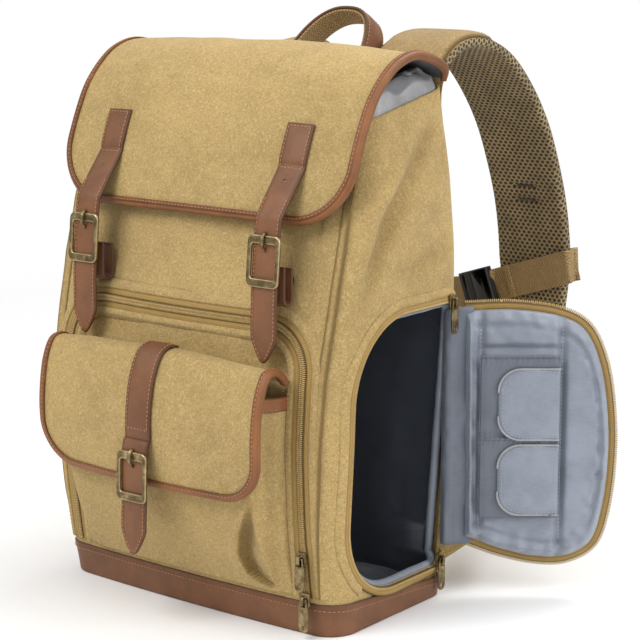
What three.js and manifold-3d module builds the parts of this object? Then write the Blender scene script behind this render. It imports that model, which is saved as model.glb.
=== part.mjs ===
// A canvas camera backpack with leather trim, standing on its base with the side door open.
// Millimetres. +Z is up, +Y is the side that lies on the wearer's back, -Y is the front.
// The origin is the centre of the base, on the ground.

import * as THREE from "three";
import { mergeVertices } from "three/addons/utils/BufferGeometryUtils.js";
import Module from "manifold-3d";

const wasm = await Module();
wasm.setup();

// Overall sizes
const bodyWidth = 308;
const bodyHeight = 418; // canvas edge of the top mouth, at the back
const backReach = 75; // from the origin to the fullest point of the back
const frontReach = 99; // from the origin to the fullest point of the front
const frontCorner = 22;
const backCorner = 16;

// Material thicknesses and the gap that separate pieces keep
const canvas = 2.5;
const leather = 2.2;
const lining = 1.2;
const webbing = 2;
const padding = 6;
const gap = 0.35;
const baseThickness = 2.6;

// The body's sections from the ground up, as shares of the sizes that they follow:
// height of bodyHeight, width of bodyWidth, back of backReach, and the front at the
// corners and at the middle of frontReach
const bodySections = [
  { height: 0.0, width: 0.925, back: 0.933, corner: 0.74, middle: 0.77 },
  { height: 0.075, width: 0.942, back: 0.96, corner: 0.82, middle: 0.87 },
  { height: 0.215, width: 0.964, back: 0.987, corner: 0.895, middle: 0.97 },
  { height: 0.365, width: 0.987, back: 1.0, corner: 0.919, middle: 1.0 },
  { height: 0.5, width: 1.0, back: 1.0, corner: 0.874, middle: 0.96 },
  { height: 0.6, width: 1.006, back: 1.0, corner: 0.778, middle: 0.889 },
  { height: 0.675, width: 1.006, back: 1.0, corner: 0.702, middle: 0.813 },
  { height: 0.765, width: 0.997, back: 0.987, corner: 0.586, middle: 0.717 },
  { height: 0.865, width: 0.977, back: 0.96, corner: 0.455, middle: 0.586 },
  { height: 0.957, width: 0.95, back: 0.925, corner: 0.384, middle: 0.455 },
  { height: 1.03, width: 0.93, back: 0.9, corner: 0.35, middle: 0.41 },
];
const cornerSteps = 3;
const bowSteps = 6;

// The top mouth slopes down towards the front
const mouthSlope = 0.2;
const mouthBackY = 60;

// Front compartment, with its zip in the shape of an arch
const compartmentBack = 70; // distance in front of the origin of the wall that it is sewn to
const compartmentTop = 251;
const zipHalfSpan = 122.5;
const zipTop = 246;
const zipBottom = 33;
const zipCorner = 38;
const tapeWidth = 20;
const tapeThickness = 1.2;
const coilWidth = 5.6;
const coilHeight = 3;

// Leather band round the base
const bandFrontHeight = 30;
const bandBackHeight = 16;

// Side door and the opening that it closes
const doorHingeY = 64;
const doorWidth = 130;
const doorBottom = 27;
const doorTop = 248;
const openingCorner = 64;
const openingHingeCorner = 10;
const doorSwing = 128; // degrees from closed
const doorHingeGap = 6;
const openingTape = 7;
const doorSliderY = 57;
const doorRim = 10;
const compartmentCeiling = 262;

// Main flap
const flapHalfWidth = 151;
const flapCorner = 50;
const flapBow = { back: 3, front: 8 };
const bindingWidth = 7;
const bindingSkin = 1.2;
const flapBindingFrom = 34; // distance along the flap, from its sewn end

// Pocket on the front
const pocketHalfWidth = 96;
const pocketRootHalfWidth = 109.5;
const pocketBottom = 33;
const pocketMouth = 192;
const pocketTrimHeight = 9;
const pocketFlapHalfWidth = 116;
const pocketFlapCorner = 38;
const pocketFlapBow = { back: 4, front: 6 };
const pocketBindingFrom = 0;

// Leather straps and their buckles
const strapWidth = 25;
const strapSpacing = 188; // between the two straps of the main flap
const buckleWidth = 31;
const buckleHeight = 40;
const buckleDepth = 3.2;
const buckleSide = 3.6;
const buckleBar = 7;
const buckleCorner = 4;
const prongWidth = 2.6;

// Zip sliders and their pulls
const sliderWidth = 9;
const sliderLength = 12;
const sliderPlate = 2;
const crownWidth = 2.6;
const crownHole = 2.6;
const crownBar = 1.4;
const crownLength = 7.4;
const pullWidth = 9;
const pullLength = 27;
const pullThickness = 1.4;
const pullEyeWidth = 4.6;
const pullEyeLength = 5.4;
const pullHoleRadius = 1.8;
const frontSliderHeights = { upper: 66, lower: 32 };

// Carrying parts
const handleSpan = 76;
const handleRise = 60;
const handleWidth = 26;
const handleLean = 30; // degrees back from upright
const handleFoot = 416;
const handleStandoff = 15.5; // of the handle from the back panel, at its middle
const handleShift = 5;
const handleSkew = 12; // its top leans over to the right
const strapCentre = 86; // distance of each shoulder strap from the middle
const shoulderWidth = 70;
const shoulderEndWidth = 46;
const shoulderThickness = 12;
const meshThickness = 2;
const lowerWebbingWidth = 28;
const adjusterLength = 22;
const adjusterThickness = 6;
const chestWebbingWidth = 30;
const chestHeight = 234;
const chestBuckleLength = 32;
const chestBuckleThickness = 9;

const radians = THREE.MathUtils.degToRad;
const point = (x, y, z) => new THREE.Vector3(x, y, z);
const mix = THREE.MathUtils.lerp;

// Materials
function finish(color, roughness, metalness = 0) {
  return new THREE.MeshStandardMaterial({ color, roughness, metalness });
}
const finishes = {
  canvas: finish(0xc0a068, 0.95),
  leather: finish(0x8a5238, 0.6),
  lining: finish(0x8b93a3, 0.7),
  darkLining: finish(0x3b3c40, 0.8),
  silverLining: finish(0xa9abb0, 0.5),
  zipTape: finish(0xb98e3c, 0.8),
  brass: finish(0x8d835c, 0.4, 0.9),
  webbing: finish(0x9a7d4e, 0.9),
  mesh: finish(0x8d7a52, 0.95),
  plastic: finish(0x121212, 0.5),
};

// A closed solid from a geometry: shared vertices are merged, and faces turned outwards
function solidOf(geometry) {
  const bare = geometry.index ? geometry.toNonIndexed() : geometry.clone();
  bare.deleteAttribute("normal");
  bare.deleteAttribute("uv");
  const merged = mergeVertices(bare, 1e-4);
  return closedSolid(Array.from(merged.attributes.position.array), Array.from(merged.index.array));
}

function closedSolid(positions, triangles) {
  let volume = 0;
  const corner = (i) => new THREE.Vector3().fromArray(positions, 3 * i);
  for (let i = 0; i < triangles.length; i += 3) {
    const [a, b, c] = [0, 1, 2].map((k) => corner(triangles[i + k]));
    volume += a.dot(b.cross(c));
  }
  const faces = Uint32Array.from(triangles);
  if (volume < 0) faces.reverse();
  return new wasm.Manifold(
    new wasm.Mesh({ numProp: 3, vertProperties: Float32Array.from(positions), triVerts: faces }),
  );
}

// A wall between two grids of points of the same size; a ring joins its last column to its first
function wall(outer, inner, ring = false) {
  const rows = outer.length;
  const columns = outer[0].length;
  const positions = [...outer.flat(), ...inner.flat()].flatMap((p) => p.toArray());
  const index = (side, i, j) => side * rows * columns + i * columns + (j % columns);
  const triangles = [];
  const quad = (a, b, c, d) => triangles.push(a, b, c, a, c, d);
  const spans = ring ? columns : columns - 1;
  for (let i = 0; i < rows - 1; i++)
    for (let j = 0; j < spans; j++) {
      quad(index(0, i, j), index(0, i, j + 1), index(0, i + 1, j + 1), index(0, i + 1, j));
      quad(index(1, i, j), index(1, i + 1, j), index(1, i + 1, j + 1), index(1, i, j + 1));
    }
  for (let j = 0; j < spans; j++) {
    quad(index(0, 0, j), index(1, 0, j), index(1, 0, j + 1), index(0, 0, j + 1));
    const last = rows - 1;
    quad(index(0, last, j), index(0, last, j + 1), index(1, last, j + 1), index(1, last, j));
  }
  if (!ring)
    for (let i = 0; i < rows - 1; i++) {
      quad(index(0, i, 0), index(0, i + 1, 0), index(1, i + 1, 0), index(1, i, 0));
      const end = columns - 1;
      quad(index(0, i, end), index(1, i, end), index(1, i + 1, end), index(0, i + 1, end));
    }
  return closedSolid(positions, triangles);
}

// A solid through closed rings of points, with flat ends
function loft(rings) {
  const size = rings[0].length;
  const positions = rings.flat().flatMap((p) => p.toArray());
  const triangles = [];
  for (let i = 0; i < rings.length - 1; i++)
    for (let j = 0; j < size; j++) {
      const [a, b] = [i * size + j, i * size + ((j + 1) % size)];
      triangles.push(a, b, b + size, a, b + size, a + size);
    }
  const ends = [rings[0], rings[rings.length - 1]];
  ends.forEach((ring, end) => {
    const middle = ring.reduce((sum, p) => sum.add(p), point(0, 0, 0)).divideScalar(size);
    const hub = positions.length / 3;
    positions.push(...middle.toArray());
    const first = end * (rings.length - 1) * size;
    for (let j = 0; j < size; j++) {
      const [a, b] = [first + j, first + ((j + 1) % size)];
      triangles.push(...(end ? [a, b, hub] : [b, a, hub]));
    }
  });
  return closedSolid(positions, triangles);
}

function block(low, high) {
  const geometry = new THREE.BoxGeometry(high[0] - low[0], high[1] - low[1], high[2] - low[2]);
  const middle = low.map((value, i) => (value + high[i]) / 2);
  return solidOf(geometry.translate(...middle));
}

// A flat plate from an outline in X and Z, with its thickness from y = 0 towards -Y
function plate(shape, thickness) {
  const geometry = new THREE.ExtrudeGeometry(shape, {
    depth: thickness,
    bevelEnabled: false,
    curveSegments: 3,
  });
  return solidOf(geometry.rotateX(Math.PI / 2));
}

// A bar from an outline in Y and Z, with its width along X, centred on x = 0
function bar(outline, width) {
  const shape = new THREE.Shape(outline.map(([y, z]) => new THREE.Vector2(y, z)));
  const geometry = new THREE.ExtrudeGeometry(shape, { depth: width, bevelEnabled: false });
  const basis = new THREE.Matrix4().makeBasis(point(0, 1, 0), point(0, 0, 1), point(1, 0, 0));
  return solidOf(geometry.applyMatrix4(basis).translate(-width / 2, 0, 0));
}

function moved(solid, matrix) {
  const geometry = geometryOf(solid);
  geometry.applyMatrix4(matrix);
  return solidOf(geometry);
}

function geometryOf(solid) {
  const made = solid.getMesh();
  const positions = new Float32Array(made.numVert * 3);
  for (let i = 0; i < made.numVert; i++)
    positions.set(made.vertProperties.subarray(i * made.numProp, i * made.numProp + 3), 3 * i);
  return new THREE.BufferGeometry()
    .setAttribute("position", new THREE.BufferAttribute(positions, 3))
    .setIndex(new THREE.BufferAttribute(made.triVerts, 1));
}

// What a cut leaves, without the crumbs that it makes
function largest(solid) {
  return solid.decompose().reduce((best, part) => (part.volume() > best.volume() ? part : best));
}

const backpack = new THREE.Group();

function add(name, solid, material, parent = backpack) {
  const mesh = new THREE.Mesh(geometryOf(solid), material);
  mesh.name = name;
  parent.add(mesh);
  return mesh;
}

// The body's measures at one height, grown outwards by an offset
function sectionAt(z, offset = 0) {
  const share = z / bodyHeight;
  const next = bodySections.findIndex((row) => row.height >= share);
  const above = next < 0 ? bodySections.length - 1 : Math.max(next, 1);
  const [low, high] = [bodySections[above - 1], bodySections[above]];
  const t = (share - low.height) / (high.height - low.height);
  return {
    half: (mix(low.width, high.width, t) * bodyWidth) / 2 + offset,
    back: mix(low.back, high.back, t) * backReach + offset,
    corner: -mix(low.corner, high.corner, t) * frontReach - offset,
    middle: -mix(low.middle, high.middle, t) * frontReach - offset,
    frontRadius: frontCorner + offset,
    backRadius: backCorner + offset,
  };
}

// The depth of the front surface at a place on it
function frontY(x, z, offset = 0) {
  const s = sectionAt(z, offset);
  const flat = s.half - s.frontRadius;
  const out = Math.abs(x) - flat;
  if (out <= 0) return s.corner + (s.middle - s.corner) * (1 - (x / flat) ** 2);
  const inside = Math.min(out, s.frontRadius);
  return s.corner + s.frontRadius - Math.sqrt(s.frontRadius ** 2 - inside ** 2);
}

function arcPoints(cx, cy, radius, from, steps) {
  return Array.from({ length: steps + 1 }, (_, i) => {
    const angle = radians(from + (90 * i) / steps);
    return [cx + radius * Math.cos(angle), cy + radius * Math.sin(angle)];
  });
}

function bodyRing(z, offset) {
  const s = sectionAt(z, offset);
  const flat = s.half - s.frontRadius;
  const backX = s.half - s.backRadius;
  const backY = s.back - s.backRadius;
  const frontRootY = s.corner + s.frontRadius;
  const bow = Array.from({ length: bowSteps - 1 }, (_, i) => {
    const x = mix(-flat, flat, (i + 1) / bowSteps);
    return [x, frontY(x, z, offset)];
  });
  return [
    ...arcPoints(backX, backY, s.backRadius, 0, cornerSteps),
    ...arcPoints(-backX, backY, s.backRadius, 90, cornerSteps),
    ...arcPoints(-flat, frontRootY, s.frontRadius, 180, cornerSteps),
    ...bow,
    ...arcPoints(flat, frontRootY, s.frontRadius, 270, cornerSteps),
  ].map(([x, y]) => point(x, y, z));
}

// The body's whole outer form between two heights, grown by an offset
function envelope(offset, low, high) {
  const between = bodySections.map((row) => row.height * bodyHeight).filter((z) => z > low && z < high);
  return loft([low, ...between, high].map((z) => bodyRing(z, offset)));
}

const far = 400;
const mouthZ = (y) => bodyHeight + mouthSlope * (y - mouthBackY);
const formTop = bodyHeight * bodySections[bodySections.length - 1].height;
const frontOf = (y, low, high) => block([-far, -far, low], [far, y, high]);

// Everything above the sloping top mouth, lifted by a rise
function aboveMouth(rise) {
  const [front, back] = [-far, far].map((y) => [y, mouthZ(y) + rise]);
  return bar([front, back, [far, 2 * far], [-far, 2 * far]], 2 * far);
}

// The leather band's upper edge slopes down towards the back
function belowBandEdge(rise) {
  const slope = (bandFrontHeight - bandBackHeight) / (backReach + frontReach);
  const height = (y) => bandBackHeight + slope * (backReach - y) + rise;
  return bar([[-far, -far], [far, -far], [far, height(far)], [-far, height(-far)]], 2 * far);
}

// The outline of the side opening: distance in front of the hinge line, height. It starts and
// ends at the hinge, and each inset gives the same number of points
function openingRing(inset) {
  const [left, right] = [inset, doorWidth - inset];
  const [low, high] = [doorBottom + inset, doorTop - inset];
  const r = openingCorner - inset;
  const h = openingHingeCorner - inset;
  const arcs = [
    arcPoints(left + h, low + h, h, 180, 2),
    arcPoints(right - r, low + r, r, 270, 6),
    arcPoints(right - r, high - r, r, 0, 6),
    arcPoints(left + h, high - h, h, 90, 2),
  ];
  const ring = [];
  arcs.forEach((arc, i) => {
    if (i > 0) {
      const [a, b] = [ring[ring.length - 1], arc[0]];
      for (const t of [1 / 3, 2 / 3]) ring.push([mix(a[0], b[0], t), mix(a[1], b[1], t)]);
    }
    ring.push(...arc);
  });
  return ring.map(([x, z]) => new THREE.Vector2(x, z));
}

// The door hangs a little: its lower edge drops away from the hinge, in shares of the door's size
const doorEdge = [
  { out: 0.02, up: 0.085 },
  { out: 0.25, up: 0.035 },
  { out: 0.5, up: 0.003 },
  { out: 0.7, up: 0.01 },
  { out: 0.87, up: 0.075 },
  { out: 0.945, up: 0.22 },
  { out: 0.975, up: 0.42 },
  { out: 0.96, up: 0.61 },
  { out: 0.905, up: 0.78 },
  { out: 0.8, up: 0.905 },
  { out: 0.62, up: 0.965 },
  { out: 0.32, up: 0.99 },
  { out: 0.02, up: 0.985 },
];
const doorEdgeSteps = 26;

function doorRing(inset) {
  const curve = new THREE.SplineCurve(
    doorEdge.map((p) => new THREE.Vector2(p.out * doorWidth, mix(doorBottom, doorTop, p.up))),
  );
  return Array.from({ length: doorEdgeSteps + 1 }, (_, i) => {
    const t = i / doorEdgeSteps;
    const tangent = curve.getTangentAt(t);
    const normal = new THREE.Vector2(-tangent.y, tangent.x);
    return curve.getPointAt(t).addScaledVector(normal, inset);
  });
}

function openingTunnel(inset) {
  const shape = new THREE.Shape(openingRing(inset));
  const geometry = new THREE.ExtrudeGeometry(shape, { depth: bodyWidth, bevelEnabled: false });
  // the outline runs forward from the hinge and up, and the cut runs out through the +X wall
  const turn = new THREE.Matrix4().makeBasis(point(0, -1, 0), point(0, 0, 1), point(-1, 0, 0));
  geometry.applyMatrix4(turn).translate(bodyWidth + bodyWidth / 4, doorHingeY, 0);
  return solidOf(geometry);
}

// Main body, front compartment, base
function addBody() {
  const bodyBottom = baseThickness + gap;
  const outer = envelope(0, bodyBottom, formTop);
  const inner = envelope(-canvas, bodyBottom + canvas, formTop + 1);
  const cavity = inner.subtract(frontOf(-compartmentBack + canvas, -far, compartmentTop + canvas));
  const main = outer
    .subtract(frontOf(-compartmentBack, -far, compartmentTop))
    .subtract(cavity)
    .subtract(aboveMouth(0))
    .subtract(openingTunnel(0));
  add("main_body", largest(main), finishes.canvas);

  const trayTop = compartmentTop - gap;
  const trayFront = -compartmentBack - gap;
  const trayCavity = envelope(-canvas, bodyBottom + canvas, trayTop - canvas);
  const tray = envelope(0, bodyBottom, trayTop)
    .intersect(block([-far, -far, -far], [far, trayFront, far]))
    .subtract(trayCavity);
  add("front_compartment", largest(tray), finishes.canvas);

  const shell = canvas + gap;
  const box = envelope(-shell, bodyBottom + shell, compartmentCeiling)
    .subtract(frontOf(-compartmentBack + shell, -far, far));
  const room = envelope(-shell - padding, bodyBottom + shell + padding, compartmentCeiling - padding)
    .subtract(frontOf(-compartmentBack + shell + padding, -far, far));
  add("camera_lining", largest(box.subtract(room).subtract(openingTunnel(0))), finishes.lining);

  add("base_panel", envelope(0, 0, baseThickness), finishes.canvas);
  const bandHigh = bandFrontHeight + leather;
  const band = envelope(gap + leather, 0, bandHigh).subtract(envelope(gap, 0, bandHigh));
  add("base_band", largest(band.intersect(belowBandEdge(0))), finishes.leather);
}

// A gathered collar of thin fabric that closes the top mouth under the flap.
// Rows: inset from the body's wall, rise above the mouth, and depth of the gathers
const collarRows = [
  { inset: 0.2, rise: -20, gather: 0 },
  { inset: 0.4, rise: -2, gather: 0.3 },
  { inset: 5, rise: 9, gather: 1.6 },
  { inset: 17, rise: 15, gather: 2.6 },
  { inset: 31, rise: 10, gather: 3 },
];
const collarFolds = 18;
const collarSteps = 2;

function addCollar() {
  const count = collarFolds * collarSteps;
  const ringAt = (row, depth) => {
    const offset = -(canvas + gap + row.inset + depth);
    const edge = bodyRing(bodyHeight, offset);
    const curve = new THREE.CatmullRomCurve3(edge, true, "centripetal");
    return Array.from({ length: count }, (_, j) => {
      const p = curve.getPointAt(j / count);
      const wave = row.gather * Math.cos((2 * Math.PI * j) / collarSteps);
      return point(p.x, p.y, mouthZ(p.y) + row.rise + wave - depth * 0.5);
    });
  };
  const outer = collarRows.map((row) => ringAt(row, 0));
  const inner = collarRows.map((row) => ringAt(row, lining));
  // the walls of the lower rows stand upright, and those of the upper rows lie nearly flat
  const collar = wall(
    outer,
    inner.map((ring, i) =>
      ring.map((p, j) => (collarRows[i].rise > 0 ? outer[i][j].clone().add(point(0, 0, -1.6)) : p)),
    ),
    true,
  );
  const inside = envelope(-canvas - gap, bodyHeight / 2, formTop);
  const flap = flapSurface.solid(-lining - 2 * gap, canvas, 0);
  const kept = collar.intersect(inside.add(aboveMouth(gap))).subtract(flap);
  add("drawstring_collar", largest(kept), finishes.silverLining);
}

// A panel that hangs over a profile in Y and Z, bowed across its width.
// The profile runs from the back, over the top and down the front, so its left side is outside
function panelSurface(profile, settings) {
  const { half, corner, bow, rows } = settings;
  const curve = new THREE.SplineCurve(profile.map(([y, z]) => new THREE.Vector2(y, z)));
  const length = curve.getLength();
  const at = (s) => {
    const t = THREE.MathUtils.clamp(s / length, 0, 1);
    const tangent = curve.getTangentAt(t);
    const place = curve.getPointAt(t).addScaledVector(tangent, s - t * length);
    return { place, normal: new THREE.Vector2(tangent.y, -tangent.x) };
  };
  // a point of the surface at x, a distance along the profile, lifted off it
  const lift = (x, s, height) => {
    const { place, normal } = at(s);
    const out = height - mix(bow.back, bow.front, s / length) * (x / half) ** 2;
    return point(x, place.x + normal.x * out, place.y + normal.y * out);
  };
  // half the width near the end, where both corners are rounded, when the edge is moved by grow
  const halfAt = (s, grow) => {
    const radius = Math.max(corner + grow, 1);
    const over = s - (length + grow - radius);
    if (over <= 0) return half + grow;
    return half + grow - radius + Math.sqrt(Math.max(radius ** 2 - over ** 2, 0));
  };
  // the panel's solid between two heights, its edge moved out by grow, begun at a distance
  const solid = (low, high, grow = 0, start = 0, columns = 6) => {
    const radius = Math.max(corner + grow, 1);
    const straight = length - corner;
    const stations = [start];
    for (let i = 1; i <= rows; i++) stations.push((straight * i) / rows);
    const turns = 5;
    for (let i = 1; i <= turns; i++) {
      const over = radius * Math.sin((Math.PI * i) / (2 * turns));
      stations.push(length + grow - radius + over);
    }
    const kept = stations.filter((s, i) => i === 0 || s > stations[i - 1] + 0.5);
    const grid = (height) =>
      kept.map((s) =>
        Array.from({ length: columns + 1 }, (_, j) =>
          lift(halfAt(s, grow) * (-1 + (2 * j) / columns), s, height),
        ),
      );
    return wall(grid(high), grid(low));
  };
  // a binding in the shape of a U round the three free edges, between two heights
  const binding = (low, high, start, columns = 6) => {
    const straight = length - corner;
    const side = [start];
    for (let i = 1; i <= rows; i++) if ((straight * i) / rows > start + 2) side.push((straight * i) / rows);
    const turns = 5;
    const path = side.map((s) => ({ x: half, s, nx: 1, ns: 0 }));
    for (let i = 1; i <= turns; i++) {
      const [nx, ns] = [Math.cos((Math.PI * i) / 10), Math.sin((Math.PI * i) / 10)];
      path.push({ x: half - corner + corner * nx, s: straight + corner * ns, nx, ns });
    }
    for (let j = 1; j < columns / 2; j++)
      path.push({ x: (half - corner) * (1 - (2 * j) / columns), s: length, nx: 0, ns: 1 });
    const rest = path.map((p) => ({ ...p, x: -p.x, nx: -p.nx })).reverse();
    const all = [...path, { x: 0, s: length, nx: 0, ns: 1 }, ...rest];
    const row = (p, places) => places.map(([d, h]) => lift(p.x - p.nx * d, p.s - p.ns * d, h));
    const [w, k] = [bindingWidth, bindingSkin];
    const outer = [[w, high], [0, high], [0, low], [w, low]];
    const inner = [[w, high - k], [k, high - k], [k, low + k], [w, low + k]];
    return wall(all.map((p) => row(p, outer)), all.map((p) => row(p, inner)));
  };
  return { lift, solid, binding, length };
}

// A panel with a leather binding folded over its free edges, clear of what it is sewn to
function addBoundPanel(name, surface, under, start, clearOf) {
  const panel = surface.solid(0, canvas, -bindingSkin - gap);
  add(name, largest(panel.subtract(clearOf)), finishes.canvas);
  const skin = bindingSkin + gap;
  add(`${name}_binding`, surface.binding(-under - skin, canvas + skin, start), finishes.leather);
}

// Profiles in Y and Z of the two flaps, by hand from the photograph's view
const flapProfile = [
  [73.5, 392],
  [73, 414],
  [63, 434],
  [41, 445],
  [15, 449],
  [-12, 441],
  [-37, 420],
  [-52, 396],
  [-63, 371],
  [-71, 346],
  [-78, 321.5],
];
const pocketFlapProfile = [
  [-95, 206.5],
  [-103, 214.5],
  [-113, 218],
  [-123, 214],
  [-131, 198],
  [-135.5, 175],
  [-136.5, 150],
  [-134, 128],
  [-131, 113],
];
const flapSurface = panelSurface(flapProfile, {
  half: flapHalfWidth,
  corner: flapCorner,
  bow: flapBow,
  rows: 13,
});
const pocketFlapSurface = panelSurface(pocketFlapProfile, {
  half: pocketFlapHalfWidth,
  corner: pocketFlapCorner,
  bow: pocketFlapBow,
  rows: 8,
});

// The body as seen from outside, without the mouth's hollow, grown by an offset
function bodyZone(offset) {
  return envelope(offset, baseThickness, formTop).subtract(aboveMouth(offset));
}

function addFlap() {
  const body = bodyZone(gap);
  addBoundPanel("main_flap", flapSurface, lining + gap, flapBindingFrom, body);
  const under = flapSurface.solid(-lining - gap, -gap, -bindingSkin - gap - 0.5);
  add("main_flap_lining", largest(under.subtract(body)), finishes.darkLining);
}

// Rows of a strap: a middle point, the direction across and the direction out of its face
function ribbon(rows, halfWidths, low, high) {
  const side = (row, i, height) =>
    [-1, 0, 1].map((k) =>
      row.middle
        .clone()
        .addScaledVector(row.across, k * halfWidths[i])
        .addScaledVector(row.out, height),
    );
  return wall(
    rows.map((row, i) => side(row, i, high)),
    rows.map((row, i) => side(row, i, low)),
  );
}

// The half widths of a strap that ends in a point
function pointedWidths(rows, half, taper) {
  const distances = [0];
  for (let i = 1; i < rows.length; i++)
    distances.push(distances[i - 1] + rows[i].middle.distanceTo(rows[i - 1].middle));
  const total = distances[distances.length - 1];
  return distances.map((d) => {
    const left = Math.min((total - d) / taper, 1);
    return half * Math.max(Math.sqrt(1 - (1 - left) ** 2) * (0.55 + 0.45 * left), 0.06);
  });
}

// Rows of a strap that lies on a panel from one distance to another
function rowsOnPanel(surface, x, stations, height) {
  return stations.map((s) => {
    const middle = surface.lift(x, s, height);
    const across = surface.lift(x + 1, s, height).sub(surface.lift(x - 1, s, height)).normalize();
    const along = surface.lift(x, s + 1, height).sub(surface.lift(x, s - 1, height)).normalize();
    return { middle, across, out: along.clone().cross(across).normalize() };
  });
}

// Rows of a strap that hangs free, through points in Y and Z
function hangingRows(x, places) {
  return places.map(([y, z], i) => {
    const [a, b] = [places[Math.max(i - 1, 0)], places[Math.min(i + 1, places.length - 1)]];
    const along = new THREE.Vector2(b[0] - a[0], b[1] - a[1]).normalize();
    return { middle: point(x, y, z), across: point(1, 0, 0), out: point(0, along.y, -along.x) };
  });
}

function roundedRectangle(width, height, radius) {
  const shape = new THREE.Shape();
  const [w, h] = [width / 2, height / 2];
  shape.moveTo(-w, -h + radius);
  shape.absarc(-w + radius, -h + radius, radius, Math.PI, 1.5 * Math.PI);
  shape.absarc(w - radius, -h + radius, radius, 1.5 * Math.PI, 2 * Math.PI);
  shape.absarc(w - radius, h - radius, radius, 0, 0.5 * Math.PI);
  shape.absarc(-w + radius, h - radius, radius, 0.5 * Math.PI, Math.PI);
  return shape;
}

// A buckle frame and its prong, in front of a straight stretch of strap.
// top and bottom are the strap's face there, in Y and Z, level with the frame's ends
function addBuckle(name, prongName, x, top, bottom) {
  const holder = new THREE.Group();
  const middle = [(top[0] + bottom[0]) / 2, (top[1] + bottom[1]) / 2];
  holder.position.set(x, middle[0], middle[1]);
  holder.rotation.x = Math.atan2(bottom[0] - top[0], top[1] - bottom[1]);
  backpack.add(holder);

  const shape = roundedRectangle(buckleWidth, buckleHeight, buckleCorner);
  const window = roundedRectangle(
    buckleWidth - 2 * buckleSide,
    buckleHeight - 2 * buckleBar,
    buckleCorner / 2,
  );
  shape.holes.push(window);
  const frame = moved(plate(shape, buckleDepth), new THREE.Matrix4().makeTranslation(0, -gap, 0));
  add(name, frame, finishes.brass, holder);

  // the prong is hooked over the upper bar and its tip rests on the strap below it
  const face = -buckleDepth - 2 * gap;
  const barLow = buckleHeight / 2 - buckleBar;
  const tip = barLow - 5;
  const outline = [
    [face, buckleHeight / 2 - 1.5],
    [face, barLow - gap],
    [-gap, tip + 1.5],
    [-gap - 0.6, tip],
    [face - 1.8, barLow - 1.5],
    [face - 1.8, buckleHeight / 2 - 1.5],
  ];
  add(prongName, bar(outline, prongWidth), finishes.brass, holder);
}

// Straps of the main flap: sewn to the flap, then hanging free to a pointed end, each with a
// snap tab behind its buckle that is pressed onto a stud on the body
const strapFree = [
  [-88.5, 333],
  [-93.5, 322],
  [-98.5, 272],
  [-99.2, 250],
  [-99.6, 236],
  [-99.9, 228],
  [-100.1, 222],
  [-100.2, 218],
];
const strapSewnFrom = 0.705;
const strapSewnTo = 0.845;
const strapSewnRows = 4;
const strapTaper = 20;
const studReach = 6;

function addFlapStraps() {
  const height = canvas + gap;
  for (const [side, sign] of [["left", -1], ["right", 1]]) {
    const x = (sign * strapSpacing) / 2;
    const stations = Array.from({ length: strapSewnRows }, (_, i) =>
      mix(strapSewnFrom, strapSewnTo, i / (strapSewnRows - 1)) * flapSurface.length,
    );
    const rows = [...rowsOnPanel(flapSurface, x, stations, height), ...hangingRows(x, strapFree)];
    const widths = pointedWidths(rows, strapWidth / 2, strapTaper);
    add(`flap_strap_${side}`, ribbon(rows, widths, 0, leather), finishes.leather);

    // the frame lies on the strap's outer face, between the strap's second and third free rows
    const lean = new THREE.Vector2(strapFree[2][0] - strapFree[1][0], strapFree[2][1] - strapFree[1][1]);
    const out = lean.clone().normalize();
    const facePoint = (share) => [
      strapFree[1][0] + lean.x * share + out.y * (leather + gap),
      strapFree[1][1] + lean.y * share - out.x * (leather + gap),
    ];
    addBuckle(`flap_buckle_${side}`, `flap_prong_${side}`, x, facePoint(0.11), facePoint(0.95));

    const tabX = x + 4;
    const strapBackY = mix(strapFree[1][0], strapFree[2][0], 0.6) + gap + leather;
    const frontLayer = strapBackY + 0.4;
    const rearLayer = frontY(tabX - strapWidth / 2, 262, gap) - 1.2;
    const fold = (rearLayer + frontLayer) / 2;
    const tab = [
      [frontLayer, 292],
      [frontLayer, 268],
      [mix(frontLayer, fold, 0.35), 262.5],
      [fold, 261],
      [mix(rearLayer, fold, 0.35), 262.5],
      [rearLayer, 268],
      [rearLayer, 290],
    ];
    const tabRows = hangingRows(tabX, tab);
    const tabWidths = tabRows.map(() => strapWidth / 2 - 2);
    const tabLeather = Math.min(leather, (rearLayer - frontLayer) / 3);
    add(`snap_tab_${side}`, ribbon(tabRows, tabWidths, -tabLeather, 0), finishes.leather);
    const stud = new THREE.CylinderGeometry(6.5, 6.5, 2 * studReach, 12);
    stud.translate(tabX, rearLayer + gap + studReach, 278);
    const seat = solidOf(stud).subtract(envelope(gap, 200, 350));
    add(`snap_stud_${side}`, largest(seat), finishes.brass);
  }
}

// Front pocket: a bellows bag open at the top, with pleated sides. Sections from the bottom up,
// as shares: height of the pocket, depth and fold of their full sizes
const pocketDepth = 36;
const pocketFold = 9;
const pocketSections = [
  { height: 0.0, depth: 0.1, fold: 0.1 },
  { height: 0.1, depth: 0.3, fold: 0.7 },
  { height: 0.25, depth: 0.55, fold: 1.0 },
  { height: 0.45, depth: 0.75, fold: 0.9 },
  { height: 0.7, depth: 0.92, fold: 0.45 },
  { height: 0.88, depth: 0.97, fold: 0.2 },
  { height: 1.0, depth: 0.94, fold: 0.15 },
];

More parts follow.
